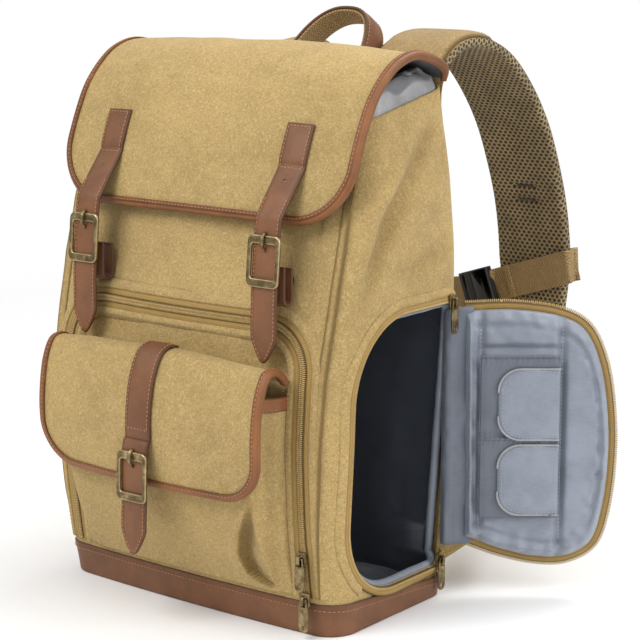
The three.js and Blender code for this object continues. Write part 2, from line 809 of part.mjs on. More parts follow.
// The pocket's outline at a height: from the left root round the front to the right root
function pocketRow(share, z, offset) {
  const next = Math.max(pocketSections.findIndex((row) => row.height >= share), 1);
  const [low, high] = [pocketSections[next - 1], pocketSections[next]];
  const t = (share - low.height) / (high.height - low.height);
  const depth = mix(low.depth, high.depth, t) * pocketDepth;
  const fold = mix(low.fold, high.fold, t) * pocketFold;
  const rootY = frontY(pocketRootHalfWidth, z, gap);
  const faceY = rootY - Math.max(depth, canvas + 2);
  const right = [
    [pocketRootHalfWidth, rootY],
    [pocketRootHalfWidth - 1.5, mix(rootY, faceY, 0.3)],
    [pocketHalfWidth + 7 - fold, mix(rootY, faceY, 0.55)],
    [pocketHalfWidth + 2, mix(rootY, faceY, 0.85)],
    [pocketHalfWidth - 3, faceY - 0.5],
    [pocketHalfWidth * 0.6, faceY - 2],
  ];
  const half = right.map(([x, y]) => new THREE.Vector2(x, y));
  const ring = [...half.map((p) => new THREE.Vector2(-p.x, p.y)), new THREE.Vector2(0, faceY - 2.6)];
  ring.push(...half.reverse());
  return ring.map((p, i) => {
    const [a, b] = [ring[Math.max(i - 1, 0)], ring[Math.min(i + 1, ring.length - 1)]];
    const along = b.clone().sub(a).normalize();
    return point(p.x + along.y * offset, p.y - along.x * offset, z);
  });
}

function addPocket() {
  const bagTop = pocketMouth - gap;
  const heights = pocketSections.map((row) => mix(pocketBottom, bagTop, row.height));
  const grid = (offset) => heights.map((z, i) => pocketRow(pocketSections[i].height, z, offset));
  const clear = envelope(gap, pocketBottom - 5, pocketMouth + 5);
  const bag = wall(grid(0), grid(-canvas)).subtract(clear);
  add("pocket_body", largest(bag), finishes.canvas);

  const trimShare = pocketTrimHeight / (bagTop - pocketBottom);
  const trimGrid = (offset) =>
    [1 - trimShare, 1].map((share) => pocketRow(share, mix(pocketBottom, bagTop, share), offset));
  const trim = wall(trimGrid(gap + lining), trimGrid(gap)).subtract(clear);
  add("pocket_mouth_trim", largest(trim), finishes.leather);

  addBoundPanel("pocket_flap", pocketFlapSurface, 0, pocketBindingFrom, bodyZone(gap));

  // the strap runs over the flap and hangs below it, in front of the pocket
  const length = pocketFlapSurface.length;
  const sewn = Array.from({ length: 9 }, (_, i) => mix(0.12, 0.72, i / 8) * length);
  const free = [
    [-141.2, 150],
    [-143.5, 142],
    [-145, 104],
    [-145.8, 90],
    [-146.2, 78],
    [-146.6, 70],
    [-146.8, 64],
    [-146.9, 60],
  ];
  const rows = [...rowsOnPanel(pocketFlapSurface, 0, sewn, canvas + 2 * gap), ...hangingRows(0, free)];
  const widths = pointedWidths(rows, strapWidth / 2 + 0.5, strapTaper);
  add("pocket_strap", ribbon(rows, widths, 0, leather), finishes.leather);
  const lean = new THREE.Vector2(free[2][0] - free[1][0], free[2][1] - free[1][1]);
  const out = lean.clone().normalize();
  const face = (share) => [
    free[1][0] + lean.x * share + out.y * (leather + gap),
    free[1][1] + lean.y * share - out.x * (leather + gap),
  ];
  addBuckle("pocket_buckle", "pocket_prong", 0, face(-0.05), face(1.05));
}

// A zip: a flat tape with a raised coil along its middle or near one edge.
// place gives a point at a distance across the tape and a height off what it lies on
function zip(stations, place, across) {
  const rise = coilHeight;
  const { low, high, coil } = across;
  const half = coilWidth / 2;
  const profile = [
    [low, tapeThickness],
    [coil - half - 0.6, tapeThickness],
    [coil - half, rise],
    [coil + half, rise],
    [coil + half + 0.6, tapeThickness],
    [high, tapeThickness],
  ].filter(([a]) => a >= low && a <= high);
  const outer = stations.map((s) => profile.map(([a, h]) => place(s, a, gap + h)));
  const inner = stations.map((s) => profile.map(([a]) => place(s, a, gap)));
  return wall(outer, inner);
}

// The arched path of the front zip: x, z and the outward direction across the tape
function frontZipPath() {
  const path = [];
  const straightTop = zipTop - zipCorner;
  const cornerX = zipHalfSpan - zipCorner;
  for (const z of [zipBottom, 60, 90, 122, 153, 180, straightTop])
    path.push({ x: zipHalfSpan, z, nx: 1, nz: 0 });
  const turns = 5;
  for (let i = 1; i <= turns; i++) {
    const angle = (Math.PI * i) / (2 * turns);
    const [nx, nz] = [Math.cos(angle), Math.sin(angle)];
    path.push({ x: cornerX + zipCorner * nx, z: straightTop + zipCorner * nz, nx, nz });
  }
  for (const share of [0.6, 0.2]) path.push({ x: cornerX * share, z: zipTop, nx: 0, nz: 1 });
  const mirrored = path.map((p) => ({ ...p, x: -p.x, nx: -p.nx }));
  return [...path, ...mirrored.reverse()];
}

function addFrontZip() {
  const place = (p, a, height) => {
    const [x, z] = [p.x + p.nx * a, p.z + p.nz * a];
    return point(x, frontY(x, z, height), z);
  };
  const across = { low: -tapeWidth / 2, high: tapeWidth / 2, coil: 0 };
  add("front_zip", zip(frontZipPath(), place, across), finishes.zipTape);
}

// A zip slider whose plate lies in X and Z at y = 0, facing -Y, with a crown over the eye of its pull
function sliderSolid() {
  const base = plate(roundedRectangle(sliderWidth, sliderLength, 2.5), sliderPlate);
  const outer = crownHole + crownBar + sliderPlate;
  const half = crownLength / 2;
  const leg = crownBar;
  const arch = [
    [-sliderPlate + 0.5, -half],
    [-outer + 0.8, -half],
    [-outer, -half + 1.2],
    [-outer, half - 1.2],
    [-outer + 0.8, half],
    [-sliderPlate + 0.5, half],
    [-sliderPlate + 0.5, half - leg],
    [-sliderPlate - crownHole, half - leg],
    [-sliderPlate - crownHole, -half + leg],
    [-sliderPlate + 0.5, -half + leg],
  ];
  return base.add(bar(arch, crownWidth));
}

// A pull whose pivot is at the origin: its top bar passes under the slider's crown
function pullSolid() {
  const shape = new THREE.Shape();
  const [half, bar] = [pullWidth / 2, pullThickness / 2];
  const bottom = -pullLength + half;
  shape.moveTo(-half + 1.6, bar);
  shape.lineTo(-half + 1, -3);
  shape.lineTo(-half, -8);
  shape.lineTo(-half, bottom);
  shape.absarc(0, bottom, half, Math.PI, 2 * Math.PI);
  shape.lineTo(half, -8);
  shape.lineTo(half - 1, -3);
  shape.lineTo(half - 1.6, bar);
  const eye = new THREE.Path();
  eye.moveTo(-pullEyeWidth / 2, -bar);
  eye.lineTo(-pullEyeWidth / 2, -bar - pullEyeLength);
  eye.lineTo(pullEyeWidth / 2, -bar - pullEyeLength);
  eye.lineTo(pullEyeWidth / 2, -bar);
  const hole = new THREE.Path().absarc(0, bottom, pullHoleRadius, 0, 2 * Math.PI);
  shape.holes.push(eye, hole);
  return moved(plate(shape, pullThickness), new THREE.Matrix4().makeTranslation(0, bar, 0));
}

// Places a slider and its hanging pull. seat is the middle of the slider's back face, and turn its
// angle about the upright axis from facing the front
function addSlider(sliderName, pullName, seat, turn) {
  const holder = new THREE.Group();
  holder.position.copy(seat);
  holder.rotation.z = turn;
  backpack.add(holder);
  add(sliderName, sliderSolid(), finishes.brass, holder);
  const pull = add(pullName, pullSolid(), finishes.brass, holder);
  pull.position.set(0, -sliderPlate - crownHole / 2, crownLength / 2 - crownBar - crownHole / 2);
}

function addFrontSliders() {
  for (const [name, z] of Object.entries(frontSliderHeights)) {
    const heights = [z - sliderLength / 2, z, z + sliderLength / 2];
    const y = Math.min(...heights.map((h) => frontY(zipHalfSpan, h, coilHeight + 2 * gap)));
    addSlider(`front_slider_${name}`, `front_pull_${name}`, point(zipHalfSpan, y, z), 0);
  }
}

// The door's own frame: distance from the hinge along X, height along Z, its lined face towards -Y
function addDoor() {
  const swing = radians(doorSwing - 90);
  const side = sectionAt((doorBottom + doorTop) / 2).half;
  const holder = new THREE.Group();
  holder.position.set(side, doorHingeY + 6, 0);
  holder.rotation.z = swing;
  holder.translateX(doorHingeGap);
  backpack.add(holder);

  const outline = (inset) => new THREE.Shape(doorRing(inset));
  const lift = (y) => new THREE.Matrix4().makeTranslation(0, y, 0);
  add("door_panel", moved(plate(outline(doorRim), canvas), lift(canvas)), finishes.canvas, holder);
  const pad = plate(outline(doorRim - 3), padding + 2);
  add("door_lining", moved(pad, lift(-gap)), finishes.lining, holder);

  const face = -gap - padding - 2 - gap;
  const size = doorTop - doorBottom;
  const panelShape = new THREE.Shape();
  const [left, right] = [0.12 * doorWidth, 0.61 * doorWidth];
  const [low, high] = [doorBottom + 0.19 * size, doorBottom + 0.8 * size];
  panelShape.moveTo(left, low);
  panelShape.lineTo(right, low);
  panelShape.lineTo(right, high);
  panelShape.lineTo(left, high);
  add("door_pocket_panel", moved(plate(panelShape, lining), lift(face)), finishes.lining, holder);

  const cardWidth = 0.38 * doorWidth;
  const cardHeight = 0.265 * size;
  for (const [name, share] of [["upper", 0.49], ["lower", 0.205]]) {
    const bottom = doorBottom + share * size;
    const card = new THREE.Shape();
    const r = 18;
    card.moveTo(right, bottom);
    card.lineTo(right, bottom + cardHeight);
    card.lineTo(right - cardWidth + r, bottom + cardHeight);
    card.absarc(right - cardWidth + r, bottom + cardHeight - r, r, 0.5 * Math.PI, Math.PI);
    card.absarc(right - cardWidth + r, bottom + r, r, Math.PI, 1.5 * Math.PI);
    const solid = moved(plate(card, lining), lift(face - lining - gap));
    add(`door_pocket_${name}`, solid, finishes.lining, holder);
  }

  // the zip half round the door's free edge: a tape outside the panel, with the coil at its rim
  const rims = [0, coilWidth / 2, doorRim - gap].map((inset) => doorRing(inset));
  const row = (i, y) => rims.map((ring) => point(ring[i].x, y, ring[i].y));
  const stations = Array.from({ length: doorEdgeSteps + 1 }, (_, i) => i);
  const front = stations.map((i) => {
    const [a, b, c] = row(i, 0);
    return [a.setY(-coilHeight / 2 + canvas), b.setY(-coilHeight / 2 + canvas), c.setY(canvas - tapeThickness)];
  });
  const rear = stations.map((i) => row(i, canvas));
  const tape = wall(front, rear);
  const cutBack = moved(plate(outline(doorRim - 3 - gap), padding + 3), lift(gap));
  add("door_zip", largest(tape.subtract(cutBack)), finishes.zipTape, holder);

  // the cloth hinge between the body and the door
  const hingeLow = mix(doorBottom, doorTop, 0.1);
  const hingeHigh = mix(doorBottom, doorTop, 0.945);
  const doorRoot = point(side, doorHingeY + 6, 0).add(
    point(Math.cos(swing), Math.sin(swing), 0).multiplyScalar(doorHingeGap + 0.02 * doorWidth - gap),
  );
  const normal = point(-Math.sin(swing), Math.cos(swing), 0);
  const bodyEdge = point(side + gap, doorHingeY - 4, 0);
  const heights = [hingeLow, mix(hingeLow, hingeHigh, 0.5), hingeHigh];
  const corner = point(side + 1.4, doorHingeY + 3, 0);
  const outside = [bodyEdge, corner, doorRoot.clone().addScaledVector(normal, canvas)];
  const inside = [
    bodyEdge.clone().add(point(2.4, -0.5, 0)),
    corner.clone().add(point(2.6, -1.6, 0)),
    doorRoot.clone().addScaledVector(normal, -1.2),
  ];
  const up = (places) => heights.map((z) => places.map((p) => point(p.x, p.y, z)));
  const strip = wall(up(outside), up(inside)).subtract(envelope(gap, 0, 300));
  add("door_hinge", largest(strip), finishes.lining);
}

// The half of the zip that is sewn round the opening, and the two sliders of the door's zip
function addOpeningZip() {
  const [edge, outer] = [openingRing(0.4), openingRing(-openingTape)];
  const coilEdge = openingRing(-coilWidth / 2);
  const sideX = (y, z, height) => {
    const s = sectionAt(z, height);
    const backRoot = s.back - s.backRadius;
    const over = Math.max(y - backRoot, 0);
    const inside = Math.min(over, s.backRadius - 0.01);
    const round = s.half - s.backRadius + Math.sqrt(s.backRadius ** 2 - inside ** 2);
    const frontRoot = s.corner + s.frontRadius;
    const ahead = Math.min(Math.max(frontRoot - y, 0), s.frontRadius - 0.01);
    return Math.min(round, s.half - s.frontRadius + Math.sqrt(s.frontRadius ** 2 - ahead ** 2));
  };
  const grid = (heights) =>
    edge.map((start, i) =>
      [start, coilEdge[i], outer[i]].map((p, k) => {
        const y = doorHingeY - p.x;
        return point(sideX(y, p.y, heights[k]), y, p.y);
      }),
    );
  const raised = gap + coilHeight * 0.7;
  const strip = wall(grid([raised, raised, gap + tapeThickness]), grid([gap, gap, gap]));
  const band = envelope(leather + 2 * gap, 0, 2 * bandFrontHeight).intersect(belowBandEdge(gap));
  const clear = band.add(envelope(0.9 * gap, 0, compartmentCeiling));
  add("opening_zip", largest(strip.subtract(clear)), finishes.zipTape);

  // both of the door's sliders stand at the ends of this half, on its coil
  for (const [name, z] of [["top", doorTop + 1], ["bottom", doorBottom + 6]]) {
    const x = sideX(doorSliderY, z, raised) + gap;
    addSlider(`door_slider_${name}`, `door_pull_${name}`, point(x, doorSliderY, z), Math.PI / 2);
  }
}

// Top handle: a leather strap over webbing, in a loop that leans back
function addHandle() {
  const lean = radians(handleLean);
  const steps = 12;
  const rise = point(0, Math.sin(lean), Math.cos(lean));
  const across = point(0, Math.cos(lean), -Math.sin(lean));
  const foot = sectionAt(handleFoot);
  const start = point(handleShift, foot.back + handleStandoff, handleFoot);
  const loop = (low, high) => {
    const rows = Array.from({ length: steps + 1 }, (_, i) => {
      const angle = Math.PI * (1 - i / steps);
      const [c, s] = [Math.cos(angle), Math.sin(angle)];
      const middle = start
        .clone()
        .add(point((handleSpan / 2) * Math.sign(c) * Math.abs(c) ** 0.8 + handleSkew * s, 0, 0))
        .addScaledVector(rise, handleRise * s ** 0.9);
      return middle;
    });
    return rows.map((middle, i) => {
      const [a, b] = [rows[Math.max(i - 1, 0)], rows[Math.min(i + 1, steps)]];
      const along = b.clone().sub(a).normalize();
      return { middle, across, out: across.clone().cross(along).normalize() };
    });
  };
  const rows = loop();
  const widths = rows.map(() => handleWidth / 2);
  const clear = bodyZone(gap).add(flapSurface.solid(-lining - 2 * gap, canvas + gap, 0));
  const outer = ribbon(rows, widths, -gap - leather, -gap).subtract(clear);
  const inner = ribbon(rows, widths.map((w) => w - 1), 0, webbing).subtract(clear);
  add("handle_leather", largest(outer), finishes.leather);
  add("handle_webbing", largest(inner), finishes.webbing);
}

// The route of a shoulder strap's middle, in Y and Z, from the back panel over the shoulder
const shoulderRoute = [
  [89, 382],
  [91, 412],
  [102, 433],
  [126, 445],
  [157, 445],
  [192, 431],
  [224, 404],
  [251, 370],
  [270, 333],
  [284, 296],
  [292, 256],
  [294, 216],
  [290, 180],
  [280, 150],
  [267, 126],
];
const shoulderSteps = 16;

// The left strap has slumped: its arch is lower, and rolled down on its outer side
const slump = { drop: 17, roll: 15, peak: 0.16, reach: 0.3 };

function shoulderRows(x) {
  const curve = new THREE.SplineCurve(shoulderRoute.map(([y, z]) => new THREE.Vector2(y, z)));
  const rows = Array.from({ length: shoulderSteps + 1 }, (_, i) => {
    const t = i / shoulderSteps;
    const place = curve.getPointAt(t);
    const away = (t - slump.peak) / slump.reach;
    const share = x < 0 ? Math.exp(-away * away) * Math.min(t / slump.peak, 1) : 0;
    const roll = radians(slump.roll) * share;
    return {
      middle: point(x, place.x, place.y - slump.drop * share),
      across: point(Math.cos(roll), 0, Math.sin(roll)),
      half: mix(shoulderWidth, shoulderEndWidth, Math.max(t - 0.75, 0) / 0.25) / 2,
    };
  });
  return rows.map((row, i) => {
    const [a, b] = [rows[Math.max(i - 1, 0)], rows[Math.min(i + 1, shoulderSteps)]];
    const along = b.middle.clone().sub(a.middle).normalize();
    return { ...row, out: row.across.clone().cross(along).normalize() };
  });
}

function addShoulderStrap(side, sign) {
  const x = sign * strapCentre;
  const rows = shoulderRows(x);
  const back = envelope(gap, 300, 440);
  const place = (row, a, height) =>
    row.middle
      .clone()
      .addScaledVector(row.across, a * row.half)
      .addScaledVector(row.out, height);
  // the padded strap is flat on its mesh side and crowned on its outer side
  const top = shoulderThickness - meshThickness - gap;
  const crown = [
    [-0.96, 0],
    [-1, top * 0.35],
    [-0.9, top * 0.75],
    [-0.5, top],
    [0.5, top],
    [0.9, top * 0.75],
    [1, top * 0.35],
    [0.96, 0],
  ];
  const pad = loft(rows.map((row) => crown.map(([a, h]) => place(row, a, h)))).subtract(back);
  add(`shoulder_pad_${side}`, largest(pad), finishes.canvas);
  const mesh = wall(
    rows.map((row) => [0.96, -0.96].map((a) => place(row, a, -gap))),
    rows.map((row) => [0.96, -0.96].map((a) => place(row, a, -gap - meshThickness))),
  ).subtract(back);
  add(`shoulder_mesh_${side}`, largest(mesh), finishes.mesh);

  // an adjuster at the strap's end, a webbing down to a wing sewn in at the base's back corner
  const last = rows[rows.length - 1];
  const down = point(0, last.out.z, -last.out.y).negate();
  const drop = down.z > 0 ? down.negate() : down;
  const adjusterMiddle = last.middle
    .clone()
    .addScaledVector(drop, adjusterLength / 2 + gap)
    .addScaledVector(last.out, top / 2);
  const adjuster = new THREE.BoxGeometry(lowerWebbingWidth + 10, adjusterThickness, adjusterLength);
  const basis = new THREE.Matrix4().makeBasis(point(1, 0, 0), last.out, point(1, 0, 0).cross(last.out));
  adjuster.applyMatrix4(basis).translate(...adjusterMiddle.toArray());
  add(`strap_adjuster_${side}`, solidOf(adjuster), finishes.plastic);

  const wingZ = 44;
  const s = sectionAt(wingZ);
  const wingTip = point(sign * (s.half + 4), s.back + 24, wingZ);
  const from = adjusterMiddle.clone().addScaledVector(drop, adjusterLength / 2 + gap);
  const to = wingTip.clone().add(point(0, 1 + gap, 0));
  const sag = 8;
  const count = 6;
  const webRows = Array.from({ length: count + 1 }, (_, i) => {
    const t = i / count;
    const middle = from.clone().lerp(to, t);
    middle.z -= sag * Math.sin(Math.PI * t);
    return middle;
  }).map((middle, i, all) => {
    const along = all[Math.min(i + 1, count)].clone().sub(all[Math.max(i - 1, 0)]).normalize();
    const across = point(1, 0, 0).addScaledVector(along, -along.x).normalize();
    return { middle, across, out: across.clone().cross(along).normalize() };
  });
  const webWidths = webRows.map(() => lowerWebbingWidth / 2);
  const grown = new THREE.BoxGeometry(far, adjusterThickness + 2, adjusterLength + 2 * gap);
  grown.applyMatrix4(basis).translate(...adjusterMiddle.toArray());
  const strip = ribbon(webRows, webWidths, -webbing / 2, webbing / 2).subtract(solidOf(grown));
  add(`shoulder_webbing_${side}`, largest(strip), finishes.webbing);

  // the wing is a folded triangle of canvas that holds the webbing's end
  const rootX = sign * (s.half - 10);
  const wing = loft(
    [-canvas, canvas].map((dx) => [
      point(rootX + dx, s.back - 1, wingZ - 22),
      point(sign * (s.half + 4) + dx, s.back + 24, wingZ - 8),
      point(sign * (s.half + 4) + dx, s.back + 24, wingZ + 8),
      point(rootX + dx, s.back - 1, wingZ + 26),
    ]),
  ).subtract(envelope(gap + leather + gap, 0, bandFrontHeight)).subtract(envelope(gap, 0, 120));
  const web = ribbon(webRows, webWidths.map((w) => w + gap), -webbing / 2 - gap, webbing / 2 + gap);
  add(`anchor_wing_${side}`, largest(wing.subtract(web)), finishes.canvas);
}

// Chest strap: webbing wrapped round each shoulder strap and joined by a side-release buckle.
// It is laid out in the frame of the shoulder straps' slope at its height: x, out from the
// mesh side, and up along the strap
const chestBuckleX = 36;
const chestSlope = 0.33;
const chestRise = 8; // of the webbing at the straps' outer edges, above chestHeight

function chestFrame() {
  const rows = shoulderRows(0).filter((row) => row.middle.y > 250);
  const i = rows.findIndex((row) => row.middle.z < chestHeight);
  const [a, b] = [rows[i - 1], rows[i]];
  const t = (a.middle.z - chestHeight) / (a.middle.z - b.middle.z);
  const along = a.middle.clone().sub(b.middle).normalize();
  const out = along.clone().cross(point(1, 0, 0)).normalize();
  const frame = new THREE.Matrix4().makeBasis(point(1, 0, 0), out, along);
  return frame.setPosition(a.middle.clone().lerp(b.middle, t));
}

function addChestStrap() {
  const frame = chestFrame();
  const outward = Math.sign(point(0, 1, 0).transformDirection(frame).y);
  const slack = 2 * gap + 2.7;
  const face = -outward * (meshThickness + gap + slack);
  const rear = outward * (shoulderThickness - meshThickness + 2 * gap + 1);
  const innerX = strapCentre - shoulderWidth / 2;
  const outerX = strapCentre + shoulderWidth / 2 + gap + webbing + 0.4;
  const buckleFace = face - outward * 7;
  const height = (x) => chestRise - chestSlope * (outerX - Math.abs(x));
  const halfBuckle = chestBuckleLength / 2;
  const tilt = Math.atan(chestSlope);

  // the socket is next to the right strap and the plug next to the left one
  const plugShare = 0.42;
  const slot = 3;
  const buckle = (grow) => {
    const size = [chestBuckleLength, chestBuckleThickness, chestWebbingWidth + 6];
    return block(...[-1, 1].map((sign) => size.map((value) => sign * (value / 2 + grow))));
  };
  const placed = (solid) => {
    const turn = new THREE.Matrix4().makeRotationY(-tilt);
    turn.setPosition(chestBuckleX, buckleFace, height(chestBuckleX));
    return moved(moved(solid, turn), frame);
  };
  for (const [side, sign] of [["left", -1], ["right", 1]]) {
    const near = sign > 0 ? chestBuckleX + halfBuckle - 4 : -(chestBuckleX - halfBuckle + 4);
    const route = [
      [near, buckleFace],
      [mix(near, innerX, 0.5), mix(buckleFace, face, 0.5)],
      [innerX + 4, face],
      [outerX - 3, face - outward * 0.4],
      [outerX, mix(face, rear, 0.25)],
      [outerX, mix(face, rear, 0.75)],
      [outerX - 3, rear],
      [innerX + 8, rear],
    ].map(([x, y]) => point(sign * x, y, height(x)));
    const rows = route.map((middle, i) => {
      const [a, b] = [route[Math.max(i - 1, 0)], route[Math.min(i + 1, route.length - 1)]];
      const along = b.clone().sub(a).normalize();
      const across = point(0, 0, 1).addScaledVector(along, -along.z).normalize();
      return { middle, across, out: across.clone().cross(along).normalize() };
    });
    const widths = rows.map(() => chestWebbingWidth / 2);
    const strip = moved(ribbon(rows, widths, -webbing / 2, webbing / 2), frame);
    const name = `chest_webbing_${side}`;
    add(name, largest(strip.subtract(placed(buckle(gap)))), finishes.webbing);
  }
  const split = mix(-halfBuckle, halfBuckle, plugShare);
  const half = (low, high) => buckle(0).intersect(block([low, -far, -far], [high, far, far]));
  const slots = (x) => {
    const reach = chestWebbingWidth / 2 + 0.7;
    return block([x, -far, -reach], [x + slot, far, reach]);
  };
  const socket = half(split + gap / 2, far).subtract(slots(halfBuckle - 3 - slot));
  const plug = half(-far, split - gap / 2).subtract(slots(-halfBuckle + 3));
  add("chest_buckle_socket", placed(socket), finishes.plastic);
  add("chest_buckle_plug", placed(plug), finishes.plastic);
}

addBody();
addCollar();
addFlap();
addFlapStraps();
addPocket();
addFrontZip();
addFrontSliders();
addDoor();
addOpeningZip();
addHandle();
for (const [side, sign] of [["left", -1], ["right", 1]]) addShoulderStrap(side, sign);
addChestStrap();

export default backpack;
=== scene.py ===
import math

import bmesh
import bpy
import numpy as np
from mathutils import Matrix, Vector


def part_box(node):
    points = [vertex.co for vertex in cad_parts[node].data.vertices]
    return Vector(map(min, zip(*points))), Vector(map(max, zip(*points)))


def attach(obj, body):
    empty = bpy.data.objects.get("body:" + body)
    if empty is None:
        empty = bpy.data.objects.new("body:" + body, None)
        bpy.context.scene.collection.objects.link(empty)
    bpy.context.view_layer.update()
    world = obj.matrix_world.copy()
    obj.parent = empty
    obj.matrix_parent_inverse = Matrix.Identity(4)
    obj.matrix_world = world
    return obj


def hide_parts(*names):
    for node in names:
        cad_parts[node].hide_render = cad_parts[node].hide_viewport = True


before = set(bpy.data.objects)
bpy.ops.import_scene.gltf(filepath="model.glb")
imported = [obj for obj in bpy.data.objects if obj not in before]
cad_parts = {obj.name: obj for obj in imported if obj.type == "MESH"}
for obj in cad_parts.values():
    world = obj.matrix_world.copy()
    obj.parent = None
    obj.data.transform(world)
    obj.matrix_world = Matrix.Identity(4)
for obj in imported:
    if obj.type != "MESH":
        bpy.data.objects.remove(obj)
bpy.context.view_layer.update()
print("frame loaded")

# Lengths are in millimetres until a mesh is made; +Z is up, -Y is the front, +X the door's side
toMetres = 0.001
pi = math.pi
canvasThickness, leatherThickness, liningThickness, pocketCloth, gap = 2.5, 2.2, 1.2, 0.8, 0.35


def boxOf(node):
    low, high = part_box(node)
    return np.array(low) / toMetres, np.array(high) / toMetres


# Arrays


def vec(*parts):
    return np.stack(np.broadcast_arrays(*[np.asarray(p, float) for p in parts]), -1)


def unit(v):
    return v / np.maximum(np.linalg.norm(v, axis=-1, keepdims=True), 1e-9)


def smooth(low, high, x):
    t = np.clip((np.asarray(x, float) - low) / (high - low), 0, 1)
    return t * t * (3 - 2 * t)


def bell(x, width):
    return np.exp(-((np.asarray(x, float) / width) ** 2))


# Normals of a grid: the cross product of its column and row differences
def gridNormals(grid):
    return unit(np.cross(np.gradient(grid, axis=1), np.gradient(grid, axis=0)))


# Soft random relief from -1 to 1: values on a lattice, blended by 3t2 - 2t3 along each axis
latticeValues = np.random.default_rng(7).uniform(-1, 1, (32, 32, 32))


def relief(points, size, seed=0):
    p = points / size + 13.7 * (seed + 1)
    cell = np.floor(p).astype(int)
    t = p - cell
    t = t * t * (3 - 2 * t)
    total = 0
    for dx in (0, 1):
        for dy in (0, 1):
            for dz in (0, 1):
                weight = (
                    np.where(dx, t[..., 0], 1 - t[..., 0])
                    * np.where(dy, t[..., 1], 1 - t[..., 1])
                    * np.where(dz, t[..., 2], 1 - t[..., 2])
                )
                i, j, k = (cell[..., n] + d for n, d in enumerate((dx, dy, dz)))
                total = total + weight * latticeValues[i % 32, j % 32, k % 32]
    return total


# A smooth curve through a few points: Catmull-Rom, resampled at even distances
def curveThrough(points, count, closed=False):
    p = np.asarray(points, float)
    if closed:
        p = np.vstack([p[-1], p, p[0], p[1]])
    else:
        p = np.vstack([2 * p[0] - p[1], p, 2 * p[-1] - p[-2]])
    t = np.linspace(0, 1, 24, endpoint=False)[:, None]
    a, b, c, d = (p[k : len(p) - 3 + k, None, :] for k in range(4))
    fine = 0.5 * (
        2 * b + (c - a) * t + (2 * a - 5 * b + 4 * c - d) * t**2 + (3 * b - a - 3 * c + d) * t**3
    )
    fine = np.vstack([fine.reshape(-1, p.shape[1]), p[-2]])
    return resample(fine, count)


def lengths(line):
    return np.concatenate([[0], np.cumsum(np.linalg.norm(np.diff(line, axis=0), axis=1))])


# Distances along each row of a grid
def rowRuns(grid):
    step = np.linalg.norm(np.diff(grid, axis=1), axis=-1)
    return np.concatenate([np.zeros((len(grid), 1)), np.cumsum(step, axis=1)], axis=1)


# The rows of values, given at run, read off between them
def readAt(at, run, values):
    return np.stack([np.interp(at, run, values[:, k]) for k in range(values.shape[1])], -1)


def resample(line, count):
    run = lengths(line)
    return readAt(np.linspace(0, run[-1], count), run, line)


# Meshes


def addMesh(name, points, faces, finish, slot, nodes=(), body="bag", uv=None, edge=None, weld=True):
    mesh = bpy.data.meshes.new(name)
    mesh.from_pydata((points * toMetres).tolist(), [], faces.tolist())
    corners = faces.ravel()
    if uv is not None:
        layer = mesh.uv_layers.new(name="cloth")
        layer.data.foreach_set("uv", (uv[corners] * toMetres).astype(np.float32).ravel())
    if edge is not None:
        mark = mesh.attributes.new("edge", "FLOAT", "POINT")
        mark.data.foreach_set("value", edge.astype(np.float32))
    if weld:
        work = bmesh.new()
        work.from_mesh(mesh)
        bmesh.ops.remove_doubles(work, verts=work.verts, dist=1e-5)
        bmesh.ops.dissolve_degenerate(work, edges=work.edges, dist=1e-6)
        work.to_mesh(mesh)
        work.free()
    mesh.polygons.foreach_set("use_smooth", np.ones(len(mesh.polygons), bool))
    mesh.materials.append(finish)
    piece = bpy.data.objects.new(name, mesh)
    bpy.context.scene.collection.objects.link(piece)
    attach(piece, body)
    if nodes:
        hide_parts(*nodes)
    return piece


# Quads of a grid of points, row by row
def gridFaces(rows, columns):
    i, j = np.meshgrid(np.arange(rows - 1), np.arange(columns - 1), indexing="ij")
    a = (i * columns + j).ravel()
    return np.stack([a, a + 1, a + columns + 1, a + columns], -1)


def addGrid(name, grid, finish, slot, uv=None, edge=None, **more):
    rows, columns = grid.shape[:2]
    flatUv = None if uv is None else uv.reshape(-1, 2)
    flatEdge = None if edge is None else np.broadcast_to(edge, grid.shape[:2]).ravel()
    faces = gridFaces(rows, columns)
    return addMesh(name, grid.reshape(-1, 3), faces, finish, slot, uv=flatUv, edge=flatEdge, **more)


# Closes a tube of rows with its ends' middles, and gives the distances that go with them
def capped(grid, run):
    ends = grid[[0, -1]].mean(axis=1, keepdims=True) + 0 * grid[[0, -1]]
    return np.concatenate([ends[:1], grid, ends[1:]]), np.concatenate([run[:1], run, run[-1:]])


def thicken(piece, thickness, offset):
    wall = piece.modifiers.new("thickness", "SOLIDIFY")
    wall.thickness, wall.offset = thickness * toMetres, offset


# The card pockets' middle row follows their bent outline, so its length isn't their width
def declareCloth(piece, grid, held, *rests):
    row, column = grid[len(grid) // 2], grid[:, grid.shape[1] // 2]
    quads = np.cross(grid[1:, 1:] - grid[:-1, :-1], grid[1:, :-1] - grid[:-1, 1:])
    area = np.linalg.norm(quads, axis=-1).sum() / 2 * toMetres**2
    width, length = lengths(row)[-1] * toMetres, lengths(column)[-1] * toMetres


